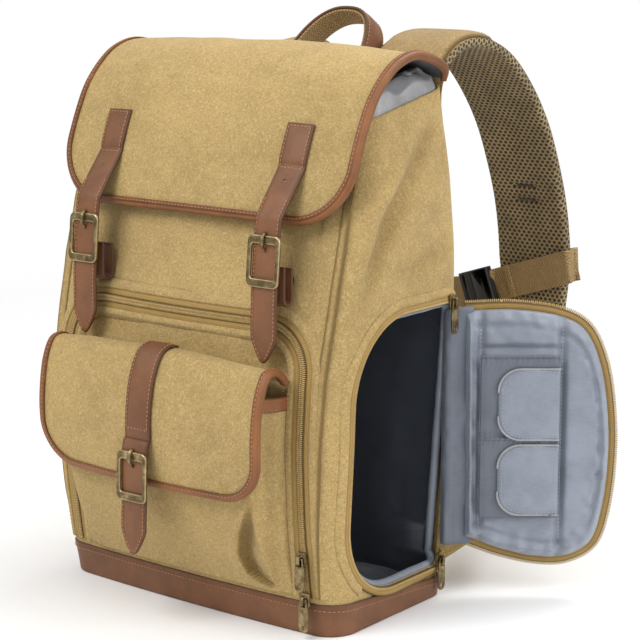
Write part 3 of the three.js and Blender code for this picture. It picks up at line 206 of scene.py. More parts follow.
# A closed slab: a round-edged profile of (across, height) carried along the stations, with its
# two ends drawn in to the middle of the thickness. place(s, a, h) gives the points, a is a
# share of the half width from -1 to 1, and half is a typical half width
def slabGrid(place, stations, low, high, half, columns=14, rounding=None, lift=None):
    radius = (high - low) / 2 if rounding is None else rounding
    middle = (high + low) / 2
    turn = np.linspace(0, pi / 2, 4)
    inset = radius / half
    right = np.linspace(-1 + inset, 1 - inset, columns)
    a = np.concatenate([
        right, 1 - inset + inset * np.sin(turn[1:]), 1 - inset + inset * np.cos(turn[1:]),
        right[::-1][1:], -1 + inset - inset * np.sin(turn[1:]), -1 + inset - inset * np.cos(turn[1:]),
    ])
    h = np.concatenate([
        np.full(columns, high), high - radius + radius * np.cos(turn[1:]),
        low + radius - radius * np.sin(turn[1:]), np.full(columns - 1, low),
        low + radius - radius * np.cos(turn[1:]), high - radius + radius * np.sin(turn[1:]),
    ])
    s = np.asarray(stations, float)
    ends = radius * (1 - np.cos(turn[:-1]))
    rows = np.concatenate([s[0] + ends, s[(s > s[0] + radius) & (s < s[-1] - radius)], (s[-1] - ends)[::-1]])
    over = np.minimum(rows - s[0], s[-1] - rows)
    pinch = np.sqrt(np.clip(1 - (1 - np.clip(over / radius, 0, 1)) ** 2, 0, 1))[:, None]
    heights = middle + (h[None, :] - middle) * (1 - (1 - pinch) * (radius / max(high - middle, 1e-6)))
    if lift is not None:
        top = smooth(middle, high, h)[None, :]
        heights = heights + lift(rows[:, None], a[None, :]) * top * pinch
    s2, a2 = np.broadcast_arrays(rows[:, None], a[None, :])
    grid = place(s2, a2, heights)
    uv = vec(s2, a2 * half)
    edge = np.maximum(smooth(half - 3.2, half - 0.4, np.abs(a2) * half), 1 - smooth(0.2, 3, over)[:, None])
    return grid, uv, edge


def addSlab(name, place, stations, low, high, half, finish, slot, columns=14, rounding=None, lift=None,
            **more):
    grid, uv, edge = slabGrid(place, stations, low, high, half, columns, rounding, lift)
    # the ends close on themselves: the first and last rows zip together, as high meets low
    return addGrid(name, grid, finish, slot, uv=uv, edge=edge, **more)


# place(s, a, h) for a strap along a line of middles, with its across and out directions
def strapPlace(middles, across, out, halves):
    run = lengths(middles)

    def place(s, a, h):
        sideways = readAt(s, run, across) * (a * np.interp(s, run, halves))[..., None]
        return readAt(s, run, middles) + sideways + unit(readAt(s, run, out)) * h[..., None]

    return place, run[-1]


# Directions of a strap: along its line, across it as near as can be to a hint, and out of its face
def strapFrames(line, hint, side=1):
    along = unit(np.gradient(line, axis=0))
    hint = np.broadcast_to(np.asarray(hint, float), line.shape)
    across = unit(hint - along * np.sum(hint * along, -1, keepdims=True))
    return along, across, unit(np.cross(across, along)) * side


# Small shapes repeated along a line: each vertex goes to place + along*x + across*y + out*z
def addRepeats(name, shape, faces, places, along, across, out, finish, slot, **more):
    x, y, z = (shape[None, :, k, None] for k in range(3))
    points = places[:, None] + along[:, None] * x + across[:, None] * y + out[:, None] * z
    count = len(shape)
    every = (faces[None] + count * np.arange(len(places))[:, None, None]).reshape(-1, 4)
    return addMesh(name, points.reshape(-1, 3), every, finish, slot, weld=False, **more)


# A stitch: a six-sided thread that arches from its first hole to its last
def stitchShape(length, radius):
    t = np.linspace(-1, 1, 5)
    turn = np.linspace(0, 2 * pi, 7)[:-1]
    size = radius * np.sqrt(np.clip(1.02 - t**4, 0.02, 1))
    x = (t * length / 2)[:, None] + 0 * turn
    y = size[:, None] * np.cos(turn)
    z = size[:, None] * np.sin(turn) - (0.9 * radius * t**4)[:, None]
    i, j = np.meshgrid(np.arange(4), np.arange(6), indexing="ij")
    a, b = (i * 6 + j).ravel(), (i * 6 + (j + 1) % 6).ravel()
    ends = np.array([[0, 1, 2, 3], [0, 3, 4, 5], [27, 26, 25, 24], [29, 28, 27, 24]])
    return vec(x, y, z).reshape(-1, 3), np.vstack([np.stack([a, b, b + 6, a + 6], -1), ends])


stitchJobs = {"leather": [], "canvas": [], "lining": []}


# Books a row of stitches along a line that lies on a surface with these normals
def sew(line, normals, kind="leather", pitch=3.6):
    run = lengths(line)
    count = max(int(run[-1] / pitch), 1)
    at = (np.arange(count) + 0.5) * run[-1] / count
    pick = lambda values: readAt(at, run, values)
    along = unit(pick(np.gradient(line, axis=0)))
    out = unit(pick(np.asarray(normals, float)))
    stitchJobs[kind].append((pick(line), along, unit(np.cross(out, along)), out))


# Sews on a strap's face: along the stations s at shares a, at a height, facing a point above it
def sewOn(place, s, a, height, above, kind="leather", pitch=3.3):
    s, a = np.broadcast_arrays(np.asarray(s, float), np.asarray(a, float))
    line = place(s, a, np.full(s.shape, height))
    sew(line, place(s, a, np.full(s.shape, above)) - line, kind, pitch)


print("helpers ready")

# Finishes


# A socket, or a number, that Python's operators turn into Math nodes
class Wire:
    def __init__(self, finish, socket):
        self.finish, self.socket = finish, socket

    def sum(self, operation, first, second=None):
        values = {0: first} if second is None else {0: first, 1: second}
        return self.finish.node("ShaderNodeMath", {"operation": operation}, values)

    def __add__(self, other):
        return self.sum("ADD", self, other)

    def __radd__(self, other):
        return self.sum("ADD", other, self)

    def __sub__(self, other):
        return self.sum("SUBTRACT", self, other)

    def __rsub__(self, other):
        return self.sum("SUBTRACT", other, self)

    def __mul__(self, other):
        return self.sum("MULTIPLY", self, other)

    def __rmul__(self, other):
        return self.sum("MULTIPLY", other, self)

    def __pow__(self, other):
        return self.sum("POWER", self, other)

    def wave(self):
        return self.sum("SINE", self)

    def magnitude(self):
        return self.sum("ABSOLUTE", self)

    # 0 below low, 1 above high, smooth between them
    def step(self, low, high):
        values = {"Value": self, 1: low, 2: high}
        return self.finish.node("ShaderNodeMapRange", {"interpolation_type": "SMOOTHSTEP"}, values)


class Finish:
    def __init__(self, name, **shaderValues):
        self.material = bpy.data.materials.new(name)
        self.material.use_nodes = True
        self.tree = self.material.node_tree
        self.tree.nodes.clear()
        self.output = self.tree.nodes.new("ShaderNodeOutputMaterial")
        self.shader = self.tree.nodes.new("ShaderNodeBsdfPrincipled")
        self.tree.links.new(self.shader.outputs[0], self.output.inputs[0])
        for socket, value in shaderValues.items():
            self.shader.inputs[socket].default_value = value

    # any node, from its type, its settings, and the values or wires of its sockets
    def node(self, kind, settings=None, values=None, output=0):
        made = self.tree.nodes.new(kind)
        for name, value in (settings or {}).items():
            if name == "stops":
                ramp = made.color_ramp
                while len(ramp.elements) < len(value):
                    ramp.elements.new(0.5)
                for element, (place, colour) in zip(ramp.elements, value):
                    element.position, element.color = place, colour
            else:
                setattr(made, name, value)
        for socket, value in (values or {}).items():
            self.feed(made.inputs[socket], value)
        return Wire(self, made.outputs[output])

    def feed(self, socket, value):
        if isinstance(value, Wire):
            self.tree.links.new(value.socket, socket)
        else:
            socket.default_value = value

    def set(self, socket, value):
        self.feed(self.shader.inputs[socket], value)

    def place(self):
        return self.node("ShaderNodeTexCoord", output="Object")

    def cloth(self):
        return self.node("ShaderNodeUVMap", {"uv_map": "cloth"})

    def mark(self, name):
        return self.node("ShaderNodeAttribute", {"attribute_name": name}, output="Fac")

    def stretched(self, coords, scale):
        values = {0: coords, 1: scale}
        return self.node("ShaderNodeVectorMath", {"operation": "MULTIPLY"}, values)

    def parts(self, coords):
        made = self.node("ShaderNodeSeparateXYZ", values={0: coords}).socket.node
        return [Wire(self, made.outputs[k]) for k in range(3)]

    def noise(self, coords, scale, detail=3.0, rough=0.5, twist=0.0):
        values = {"Vector": coords, "Scale": scale, "Detail": detail, "Roughness": rough, "Distortion": twist}
        return self.node("ShaderNodeTexNoise", None, values)

    def blend(self, factor, a, b, how="MIX"):
        settings = {"data_type": "RGBA", "blend_type": how}
        return self.node("ShaderNodeMix", settings, {0: factor, 6: a, 7: b}, 2)

    def bump(self, height, distance, strength=1.0, under=None):
        values = {"Height": height, "Distance": distance, "Strength": strength}
        if under is not None:
            values["Normal"] = under
        return self.node("ShaderNodeBump", None, values)


def shade(r, g, b):
    return (r, g, b, 1.0)


# Waxed canvas: a tan that wanders slowly between two tones, with blotches, pale worm-like fibres
# from two distorted noises and darker pits between them; bump follows the fibres and the blotches.
# The edge mark darkens the cloth: in its deep folds and behind the pocket's crease this is painted shade, and on
# canvas slabs it also runs along their rims and ends
def canvasFinish(name, base=(0.43, 0.3, 0.118), weave=1.0):
    f = Finish(name, Roughness=0.9)
    f.shader.inputs["Sheen Weight"].default_value = 0.08
    f.shader.inputs["Specular IOR Level"].default_value = 0.2
    where, cloth = f.place(), f.cloth()
    tone = np.array(base)
    large = f.noise(where, 12.0, 3.0, 0.55).step(0.3, 0.72)
    middle = f.noise(where, 75.0, 4.0, 0.65).step(0.32, 0.7)
    warp = f.noise(f.stretched(cloth, (420.0, 1100.0, 1.0)), 1.0, 2.0, 0.6, 0.6)
    weft = f.noise(f.stretched(cloth, (1100.0, 420.0, 1.0)), 1.0, 2.0, 0.6, 0.6)
    fibre = f.noise(where, 560.0, 2.0, 0.7, 1.2)
    thread = (warp + weft) * 0.5
    colour = f.blend(large, shade(*(tone * 0.84)), shade(*(tone * 1.12)))
    colour = f.blend(middle * 0.65, colour, shade(*(tone * np.array([1.16, 1.18, 1.26]))))
    colour = f.blend(thread.step(0.56, 0.36) * 0.5, colour, shade(*(tone * 0.5)))
    colour = f.blend(fibre.step(0.5, 0.34) * 0.45, colour, shade(*(tone * 0.6)))
    colour = f.blend(fibre.step(0.52, 0.7) * 0.6, colour, shade(*(tone * np.array([1.45, 1.5, 1.75]))))
    # painted shade from the edge mark: folds and the crease darkened towards brown
    colour = f.blend(f.mark("edge") * 0.8, colour, shade(*(tone * np.array([0.3, 0.25, 0.16]))))
    f.set("Base Color", colour)
    f.set("Roughness", 0.84 + middle * 0.12)
    fine = f.bump(thread * 0.6 + fibre * 0.5, 0.0008 * weave, 0.8)
    f.set("Normal", f.bump(middle, 0.0012, 0.4, fine))
    return f.material


# Oiled leather: brown, paler in soft clouds, nearly black brown at cut edges by the edge mark,
# with a grain of small cells and fine creases
def leatherFinish(name, base=(0.17, 0.068, 0.0265)):
    f = Finish(name, Roughness=0.5)
    f.shader.inputs["Specular IOR Level"].default_value = 0.42
    where = f.place()
    tone = np.array(base)
    cloud = f.noise(where, 26.0, 4.0, 0.6)
    fine = f.noise(where, 240.0, 3.0, 0.6)
    cells = f.node("ShaderNodeTexVoronoi", {"feature": "DISTANCE_TO_EDGE"}, {"Vector": where, "Scale": 950.0})
    paler = tone * np.array([1.22, 1.26, 1.28])
    colour = f.blend(cloud.step(0.3, 0.72), shade(*(tone * 0.8)), shade(*paler))
    colour = f.blend(fine.step(0.55, 0.75) * 0.3, colour, shade(*(tone * 1.7)))
    colour = f.blend(f.mark("edge") * 0.62, colour, shade(*(tone * 0.33)))
    f.set("Base Color", colour)
    f.set("Roughness", 0.4 + fine * 0.22)
    grain = f.bump(cells.step(0.0, 0.35), 0.00012, 0.5)
    f.set("Normal", f.bump(cloud, 0.0012, 0.3, grain))
    return f.material


# Satin lining: grey blue with a fine twill, sin(u + v), and soft clouds
def satinFinish(name, base=(0.225, 0.25, 0.3), rough=0.42, twill=2600.0):
    f = Finish(name, Roughness=rough)
    f.shader.inputs["Sheen Weight"].default_value = 0.25
    f.shader.inputs["Specular IOR Level"].default_value = 0.4
    where, cloth = f.place(), f.cloth()
    tone = np.array(base)
    u, v, _ = f.parts(cloth)
    lines = ((u + v) * twill).wave()
    cloud = f.noise(where, 40.0, 3.0, 0.55)
    slub = f.noise(f.stretched(cloth, (140.0, 1400.0, 1.0)), 1.0, 2.0, 0.6)
    colour = f.blend(cloud.step(0.3, 0.7), shade(*(tone * 0.9)), shade(*(tone * 1.1)))
    colour = f.blend(slub.step(0.4, 0.65) * 0.35, colour, shade(*(tone * 1.22)))
    f.set("Base Color", colour)
    f.set("Roughness", rough - 0.08 + cloud * 0.2)
    f.set("Normal", f.bump(lines, 0.00006, 0.5, f.bump(slub, 0.00025, 0.5)))
    return f.material


# Webbing: a herringbone, the sine of u plus a zigzag of v, over two tans
def webbingFinish(name, base=(0.34, 0.228, 0.1), rib=2100.0, zig=5.0):
    f = Finish(name, Roughness=0.85)
    where, cloth = f.place(), f.cloth()
    tone = np.array(base)
    u, v, _ = f.parts(cloth)
    zigzag = f.node("ShaderNodeMath", {"operation": "PINGPONG"}, {0: v * 1000.0, 1: zig})
    lines = (u * rib + zigzag * 2.2).wave() * 0.5 + 0.5
    cloud = f.noise(where, 160.0, 3.0, 0.6)
    colour = f.blend(lines, shade(*(tone * 0.6)), shade(*(tone * 1.15)))
    colour = f.blend(cloud.step(0.45, 0.7) * 0.3, colour, shade(*(tone * 1.35)))
    f.set("Base Color", colour)
    f.set("Normal", f.bump(lines, 0.0004, 0.8))
    return f.material


# Zip tape: mustard, ribbed along its length; the edge mark paints shade on it beside the coil
def tapeFinish(name, base=(0.42, 0.265, 0.075)):
    f = Finish(name, Roughness=0.75)
    cloth = f.cloth()
    u, v, _ = f.parts(cloth)
    tone = np.array(base)
    ribs = (v * 4200.0).wave() * 0.5 + 0.5
    cross = (u * 4200.0).wave() * 0.5 + 0.5
    cloud = f.noise(f.place(), 90.0, 3.0, 0.6)
    colour = f.blend(ribs * cross, shade(*(tone * 0.72)), shade(*(tone * 1.15)))
    colour = f.blend(cloud.step(0.4, 0.7) * 0.3, colour, shade(*(tone * 0.6)))
    # painted shade beside the coil from the edge mark
    colour = f.blend(f.mark("edge") * 0.88, colour, shade(*(tone * 0.16)))
    f.set("Base Color", colour)
    f.set("Normal", f.bump(ribs + cross, 0.0002, 0.6))
    return f.material


# Thread or coil of one colour with faint clouds
def threadFinish(name, base, rough=0.6):
    f = Finish(name, Roughness=rough)
    tone = np.array(base)
    cloud = f.noise(f.place(), 300.0, 2.0, 0.5)
    f.set("Base Color", f.blend(cloud, shade(*(tone * 0.75)), shade(*(tone * 1.2))))
    return f.material


# Antique brass: dark patina in the hollows, bright worn metal at the edge mark
def brassFinish(name):
    f = Finish(name, Metallic=1.0, Roughness=0.4)
    where = f.place()
    cloud = f.noise(where, 150.0, 4.0, 0.65)
    fine = f.noise(where, 900.0, 3.0, 0.6)
    wear = f.mark("edge") * 0.8 + cloud.step(0.5, 0.72) * 0.35
    colour = f.blend(cloud.step(0.32, 0.68), shade(0.13, 0.095, 0.045), shade(0.30, 0.225, 0.11))
    colour = f.blend(wear, colour, shade(0.62, 0.5, 0.29))
    f.set("Base Color", colour)
    f.set("Roughness", 0.3 + fine * 0.28)
    f.set("Normal", f.bump(fine, 0.00008, 0.5))
    return f.material


# Moulded plastic: nearly black with a spark-eroded grain
def plasticFinish(name):
    f = Finish(name, Roughness=0.45)
    fine = f.noise(f.place(), 1200.0, 2.0, 0.5)
    f.set("Base Color", f.blend(fine, shade(0.011, 0.011, 0.012), shade(0.022, 0.022, 0.024)))
    f.set("Normal", f.bump(fine, 0.00006, 0.4))
    return f.material


# Spacer mesh: round holes in staggered rows, each where the distance to its cell's middle
# is under a share of the pitch; the holes are painted nearly black as the shade inside them
def meshFinish(name, base=(0.3, 0.225, 0.118), rowPitch=0.0036, pitch=0.0052):
    f = Finish(name, Roughness=0.9)
    u, v, _ = f.parts(f.cloth())
    tone = np.array(base)
    row = u * (1 / rowPitch)
    odd = f.node("ShaderNodeMath", {"operation": "FLOOR"}, {0: row})
    shift = f.node("ShaderNodeMath", {"operation": "MODULO"}, {0: odd, 1: 2.0}).magnitude() * 0.5
    cellU = f.node("ShaderNodeMath", {"operation": "FRACT"}, {0: row}) - 0.5
    cellV = f.node("ShaderNodeMath", {"operation": "FRACT"}, {0: v * (1 / pitch) + shift}) - 0.5
    distance = (cellU * cellU * 0.9 + cellV * cellV * 1.5) ** 0.5
    hole = distance.step(0.46, 0.34)
    cloud = f.noise(f.place(), 60.0, 3.0, 0.6)
    colour = f.blend(cloud.step(0.3, 0.7), shade(*(tone * 0.85)), shade(*(tone * 1.2)))
    # painted shade: the holes nearly black
    colour = f.blend(hole * 0.92, colour, shade(*(tone * 0.1)))
    f.set("Base Color", colour)
    f.set("Normal", f.bump(1 - hole, 0.0009, 0.9))
    return f.material


canvas = canvasFinish("tan canvas")
leather = leatherFinish("brown leather")
bindingLeather = leatherFinish("tawny leather", (0.225, 0.082, 0.024))
satin = satinFinish("grey blue lining")
darkLining = satinFinish("dark grey lining", (0.055, 0.057, 0.062), 0.6)
silverLining = satinFinish("silver grey collar", (0.3, 0.305, 0.315), 0.24)
# the grey blue lining darkened: painted shade for the inside of the camera compartment
shadedInnerLining = satinFinish("grey blue lining in deep painted shade", (0.045, 0.052, 0.068), 0.3)
# a darker copy of the grey blue lining: painted shade on the door's hinge cloth, pocket panel and hems
shadeLining = satinFinish("grey blue lining in painted shade", (0.12, 0.136, 0.167), 0.4)
webbing = webbingFinish("tan webbing")
tape = tapeFinish("mustard tape")
coil = threadFinish("mustard coil", (0.46, 0.31, 0.11), 0.4)
leatherThread = threadFinish("brown thread", (0.42, 0.19, 0.09))
canvasThread = threadFinish("tan thread", (0.4, 0.29, 0.14))
liningThread = threadFinish("grey thread", (0.36, 0.39, 0.44))
brass = brassFinish("antique brass")
plastic = plasticFinish("black plastic")
spacerMesh = meshFinish("spacer mesh")
print("finishes ready")

# The body

bodyPlan = {
    "width": 308,
    "height": 418,
    "back": 75,
    "front": 99,
    "frontCorner": 22,
    "backCorner": 16,
    "bottom": 3.0,
    "mouthSlope": 0.2,
    "mouthBack": 60,
    "dent": 1.3,
}
# shares, from the ground up: height of the height, half width of the half width, back of the
# back's reach, and corner and middle of the front's reach
bodySections = np.array([
    (0.0, 0.925, 0.933, 0.74, 0.77),
    (0.075, 0.942, 0.96, 0.82, 0.87),
    (0.215, 0.964, 0.987, 0.895, 0.97),
    (0.365, 0.987, 1.0, 0.919, 1.0),
    (0.5, 1.0, 1.0, 0.874, 0.96),
    (0.6, 1.006, 1.0, 0.778, 0.889),
    (0.675, 1.006, 1.0, 0.702, 0.813),
    (0.765, 0.997, 0.987, 0.586, 0.717),
    (0.865, 0.977, 0.96, 0.455, 0.586),
    (0.957, 0.95, 0.925, 0.384, 0.455),
    (1.03, 0.93, 0.9, 0.35, 0.41),
])


# The body's measures at heights z: straight lines between the sections, averaged over a short
# stretch so that no crease shows
def sectionAt(z, offset=0.0):
    share = np.asarray(z, float) / bodyPlan["height"]
    near = np.linspace(-0.03, 0.03, 7)
    column = lambda k: np.mean(
        [np.interp(share + d, bodySections[:, 0], bodySections[:, k]) for d in near], axis=0
    )
    return (
        column(1) * bodyPlan["width"] / 2 + offset,
        column(2) * bodyPlan["back"] + offset,
        -column(3) * bodyPlan["front"] - offset,
        -column(4) * bodyPlan["front"] - offset,
    )


# Depth of the front at (x, z): a parabola between the corners, then a quarter round
def frontDepth(x, z, offset=0.0):
    half, _, corner, middle = sectionAt(z, offset)
    radius = bodyPlan["frontCorner"] + offset
    flat = half - radius
    out = np.abs(x) - flat
    bow = corner + (middle - corner) * (1 - (x / flat) ** 2)
    inside = np.clip(out, 0, radius)
    return np.where(out <= 0, bow, corner + radius - np.sqrt(radius**2 - inside**2))


# Distance of the +X or -X wall at (y, z)
def sideReach(y, z, offset=0.0):
    half, back, corner, _ = sectionAt(z, offset)
    front, rear = bodyPlan["frontCorner"] + offset, bodyPlan["backCorner"] + offset
    over = np.clip(y - (back - rear), 0, rear - 0.01)
    ahead = np.clip(corner + front - y, 0, front - 0.01)
    return np.minimum(
        half - rear + np.sqrt(rear**2 - over**2), half - front + np.sqrt(front**2 - ahead**2)
    )


# Rings round the body at heights z, from the middle of the front over the right side to the middle
# of the back and on to the start: flats and quarter rounds in turn. counts are the steps of half
# the back, a back corner, a side, a front corner and half the front
ringCounts = (34, 9, 42, 11, 40)


def bodyRings(z, offset=0.0, counts=ringCounts):
    z = np.asarray(z, float)[:, None]
    half, back, corner, middle = sectionAt(z, offset)
    front, rear = bodyPlan["frontCorner"] + offset, bodyPlan["backCorner"] + offset
    nBack, nRear, nSide, nFront, nBow = counts
    t = lambda n: np.linspace(0, 1, n, endpoint=False)[None, :]
    quarter = lambda n: t(n) * pi / 2
    rearX, flat, rootY = half - rear, half - front, corner + front
    right = [
        (flat * t(nBow), corner + (middle - corner) * (1 - t(nBow) ** 2)),
        (flat + front * np.sin(quarter(nFront)), rootY - front * np.cos(quarter(nFront))),
        (half + 0 * t(nSide), rootY + (back - rear - rootY) * t(nSide)),
        (rearX + rear * np.cos(quarter(nRear)), back - rear + rear * np.sin(quarter(nRear))),
        (rearX * (1 - t(nBack)), back + 0 * t(nBack)),
    ]
    x, y = (
        np.concatenate([np.broadcast_to(part[k], (len(z), part[k].shape[1])) for part in right], axis=1)
        for k in range(2)
    )
    x = np.concatenate([x, 0 * half, -x[:, :0:-1], x[:, :1]], axis=1)
    y = np.concatenate([y, back, y[:, :0:-1], y[:, :1]], axis=1)
    return vec(x, y, z)


def mouthHeight(y):
    return bodyPlan["height"] + bodyPlan["mouthSlope"] * (y - bodyPlan["mouthBack"])


doorPlan = {
    "hingeY": 64,
    "width": 130,
    "bottom": 27,
    "top": 248,
    "corner": 64,
    "hingeCorner": 10,
    "swing": 38,
    "hingeGap": 6,
    "rim": 10,
}


# Signed distance from the edge of the side opening, negative inside, with its outward direction
# in (distance from the hinge line, height): a rectangle with two large and two small rounds
def openingDistance(ahead, z):
    d = doorPlan
    px, pz = ahead - d["width"] / 2, z - (d["bottom"] + d["top"]) / 2
    radius = np.where(px > 0, d["corner"], d["hingeCorner"])
    qx = np.abs(px) - d["width"] / 2 + radius
    qz = np.abs(pz) - (d["top"] - d["bottom"]) / 2 + radius
    ox, oz = np.maximum(qx, 0), np.maximum(qz, 0)
    both = np.hypot(ox, oz)
    distance = np.minimum(np.maximum(qx, qz), 0) + both - radius
    wide = qx > qz
    nx = np.where(both > 1e-6, ox / np.maximum(both, 1e-6), wide) * np.sign(px)
    nz = np.where(both > 1e-6, oz / np.maximum(both, 1e-6), ~wide) * np.sign(pz)
    return distance, nx, nz


# A point of the opening's edge moved outwards by an inset, at shares t of its length
def openingLine(t, out):
    d = doorPlan
    r, h = d["corner"] + out, d["hingeCorner"] + out
    left, right, low, high = -out, d["width"] + out, d["bottom"] - out, d["top"] + out
    arc = lambda cx, cz, radius, start, n: np.stack([
        cx + radius * np.cos(np.radians(start + np.linspace(0, 90, n))),
        cz + radius * np.sin(np.radians(start + np.linspace(0, 90, n))),
    ], -1)
    line = np.vstack([
        arc(left + h, low + h, h, 180, 8), arc(right - r, low + r, r, 270, 24),
        arc(right - r, high - r, r, 0, 24), arc(left + h, high - h, h, 90, 8),
    ])
    run = lengths(line)
    at = t * run[-1]
    return np.interp(at, run, line[:, 0]), np.interp(at, run, line[:, 1])


# share is the seam's place in the front corner's round
seamPlan = {"from": 30, "to": 392, "share": 0.24, "lap": 4.0, "lift": 2.6}
# drapes on the side: y, z, slope, height, width and reach; a negative height is a valley
drapes = (
    (-8, 352, 0.55, 7.0, 11, 62), (22, 330, 0.42, 4.5, 10, 60), (-30, 305, 1.0, -8.0, 9, 46),
    (20, 366, 0.75, -7.5, 9, 40), (30, 286, 0.2, -3.0, 9, 46), (-34, 262, -0.35, 2.4, 8, 30),
)


# The canvas of the body and the front compartment in one skin: rings up the height, bent to the
# mouth's slope near the top, dented by soft relief, with a lap down each front corner and drapes
# below the flap. The side opening is cut where the signed distance is negative, and its rim is
# pulled onto the edge
def bodyCanvas():
    rows = 128
    z = np.linspace(bodyPlan["bottom"], bodyPlan["height"] + 9, rows)
    grid = bodyRings(z)
    level = z[:, None]
    squeeze = (level - z[0]) / (z[-1] - z[0])
    lifted = z[0] + squeeze * (mouthHeight(grid[..., 1]) - z[0])
    bent = level + (lifted - level) * smooth(300, 400, level)
    grid[..., 2] = np.where(level > 300, bent, level)
    x, y = grid[..., 0], grid[..., 1]
    normals = gridNormals(grid)
    run = rowRuns(grid)
    seamColumn = int(ringCounts[4] + ringCounts[3] * seamPlan["share"])
    columns = grid.shape[1]
    free = smooth(12, 60, z)[:, None] * (1 - smooth(395, 412, z))[:, None]
    dents = relief(grid * np.array([1, 1, 0.55]), 62, 1) + relief(grid, 27, 2) * 0.45
    rim = openingDistance(doorPlan["hingeY"] - y, grid[..., 2])[0]
    calm = np.where(x > 100, smooth(7, 30, rim), 1.0)
    off = dents * bodyPlan["dent"] * free * calm
    # each drape is a ridge or a valley along a slanted line, and the valleys get painted shade
    hollow = 0 * off
    for dropY, dropZ, slope, height, width, reach in drapes:
        fromY, fromZ = y - dropY, grid[..., 2] - dropZ
        along = fromY * math.cos(slope) + fromZ * math.sin(slope)
        across = fromZ * math.cos(slope) - fromY * math.sin(slope)
        fold = height * bell(across, width) * bell(along, reach) * smooth(64, 38, y)
        fold = np.where(np.abs(x) > 120, fold * calm, 0) * free
        off += fold
        hollow += np.maximum(-fold, 0) / 8
    # the front sags a little under the flap straps
    off -= 1.6 * bell(grid[..., 2] - 292, 26) * bell(np.abs(x) - 40, 60) * (y < -20)
    grid = grid + normals * off[..., None]

    ahead, height = doorPlan["hingeY"] - grid[..., 1], grid[..., 2]
    distance, nx, nz = openingDistance(ahead, height)
    distance = np.where(x > 110, distance, 99.0)
    faces = gridFaces(rows, columns)
    middleDistance = distance.ravel()[faces].mean(1)
    kept, cut = faces[middleDistance > 0], faces[middleDistance <= 0]
    rimPoints = np.intersect1d(kept, cut)
    flat = grid.reshape(-1, 3)
    move = distance.ravel()[rimPoints]
    newAhead = ahead.ravel()[rimPoints] - nx.ravel()[rimPoints] * move
    newZ = height.ravel()[rimPoints] - nz.ravel()[rimPoints] * move
    newY = doorPlan["hingeY"] - newAhead
    flat[rimPoints] = vec(sideReach(newY, newZ), newY, newZ)
    uv = vec(run, np.broadcast_to(z[:, None], run.shape)).reshape(-1, 2)
    # the edge attribute carries the painted shade of the drapes' valleys
    piece = addMesh("body_canvas", flat, kept, canvas, "canvas", nodes=("main_body", "front_compartment"),
                    uv=uv, edge=0.5 * np.clip(hollow, 0, 1).ravel())
    thicken(piece, canvasThickness, -1)
    # the front panel laps over the side: a strip whose outer edge stands up from the seam
    lap = seamPlan["lap"]

    def lip(s, a):
        return seamPlan["lift"] * smooth(-0.8, 0.85, a) + 0.25 * relief(vec(a * 5, s, 0), 16, 31) * (a > 0)

    picked = (z > seamPlan["from"]) & (z < seamPlan["to"])
    for column, side, word in ((seamColumn, 1, "right"), (columns - 1 - seamColumn, -1, "left")):
        normal = unit(normals[:, column][picked])
        line = resample(grid[:, column][picked], 200)
        normal = unit(readAt(np.linspace(0, 1, 200), np.linspace(0, 1, len(normal)), normal))
        across = unit(np.cross(np.gradient(line, axis=0), normal)) * side
        place, length = strapPlace(line - normal * 0.9, across, normal, np.full(200, lap))
        addSlab(f"seam_lap_{word}", place, np.linspace(0, length, 190), 0.1, 1.1, lap, canvas, "canvas",
                columns=14, rounding=0.5, lift=lip)
        sewOn(place, np.linspace(3, length - 3, 260), 0.1, 2.2, 6.0, "canvas", 4.0)


bodyCanvas()


# The base: rings drawn in towards the middle, with a rim rounded over half the thickness
def basePanel():
    low, high = boxOf("base_panel")
    thickness = high[2] - low[2]
    outline = bodyRings([1.3], -0.4)[0]
    inward = np.concatenate([np.linspace(0, 0.94, 24), 0.985 + 0.015 * np.sin(np.linspace(0, pi / 2, 5))])
    rounded = np.sqrt(np.clip(1 - np.clip((inward - 0.985) / 0.015, 0, 1) ** 2, 0, 1))[:, None]
    inward = inward[:, None]
    under = vec(outline[None, :, 0] * inward, outline[None, :, 1] * inward - 3 * (1 - inward),
                thickness / 2 * (1 - rounded) + 0.02)
    over = under[::-1].copy()
    over[..., 2] = thickness - over[..., 2]
    grid = np.vstack([under, over[1:]])
    addGrid("base_canvas", grid[:, ::-1], canvas, "canvas", nodes=("base_panel",), uv=grid[:, ::-1, :2])


basePanel()

bandPlan = {"front": 30, "back": 16, "stitch": 4.2}


def bandHeight(y):
    slope = (bandPlan["front"] - bandPlan["back"]) / (bodyPlan["back"] + bodyPlan["front"])
    return bandPlan["back"] + slope * (bodyPlan["back"] - y)


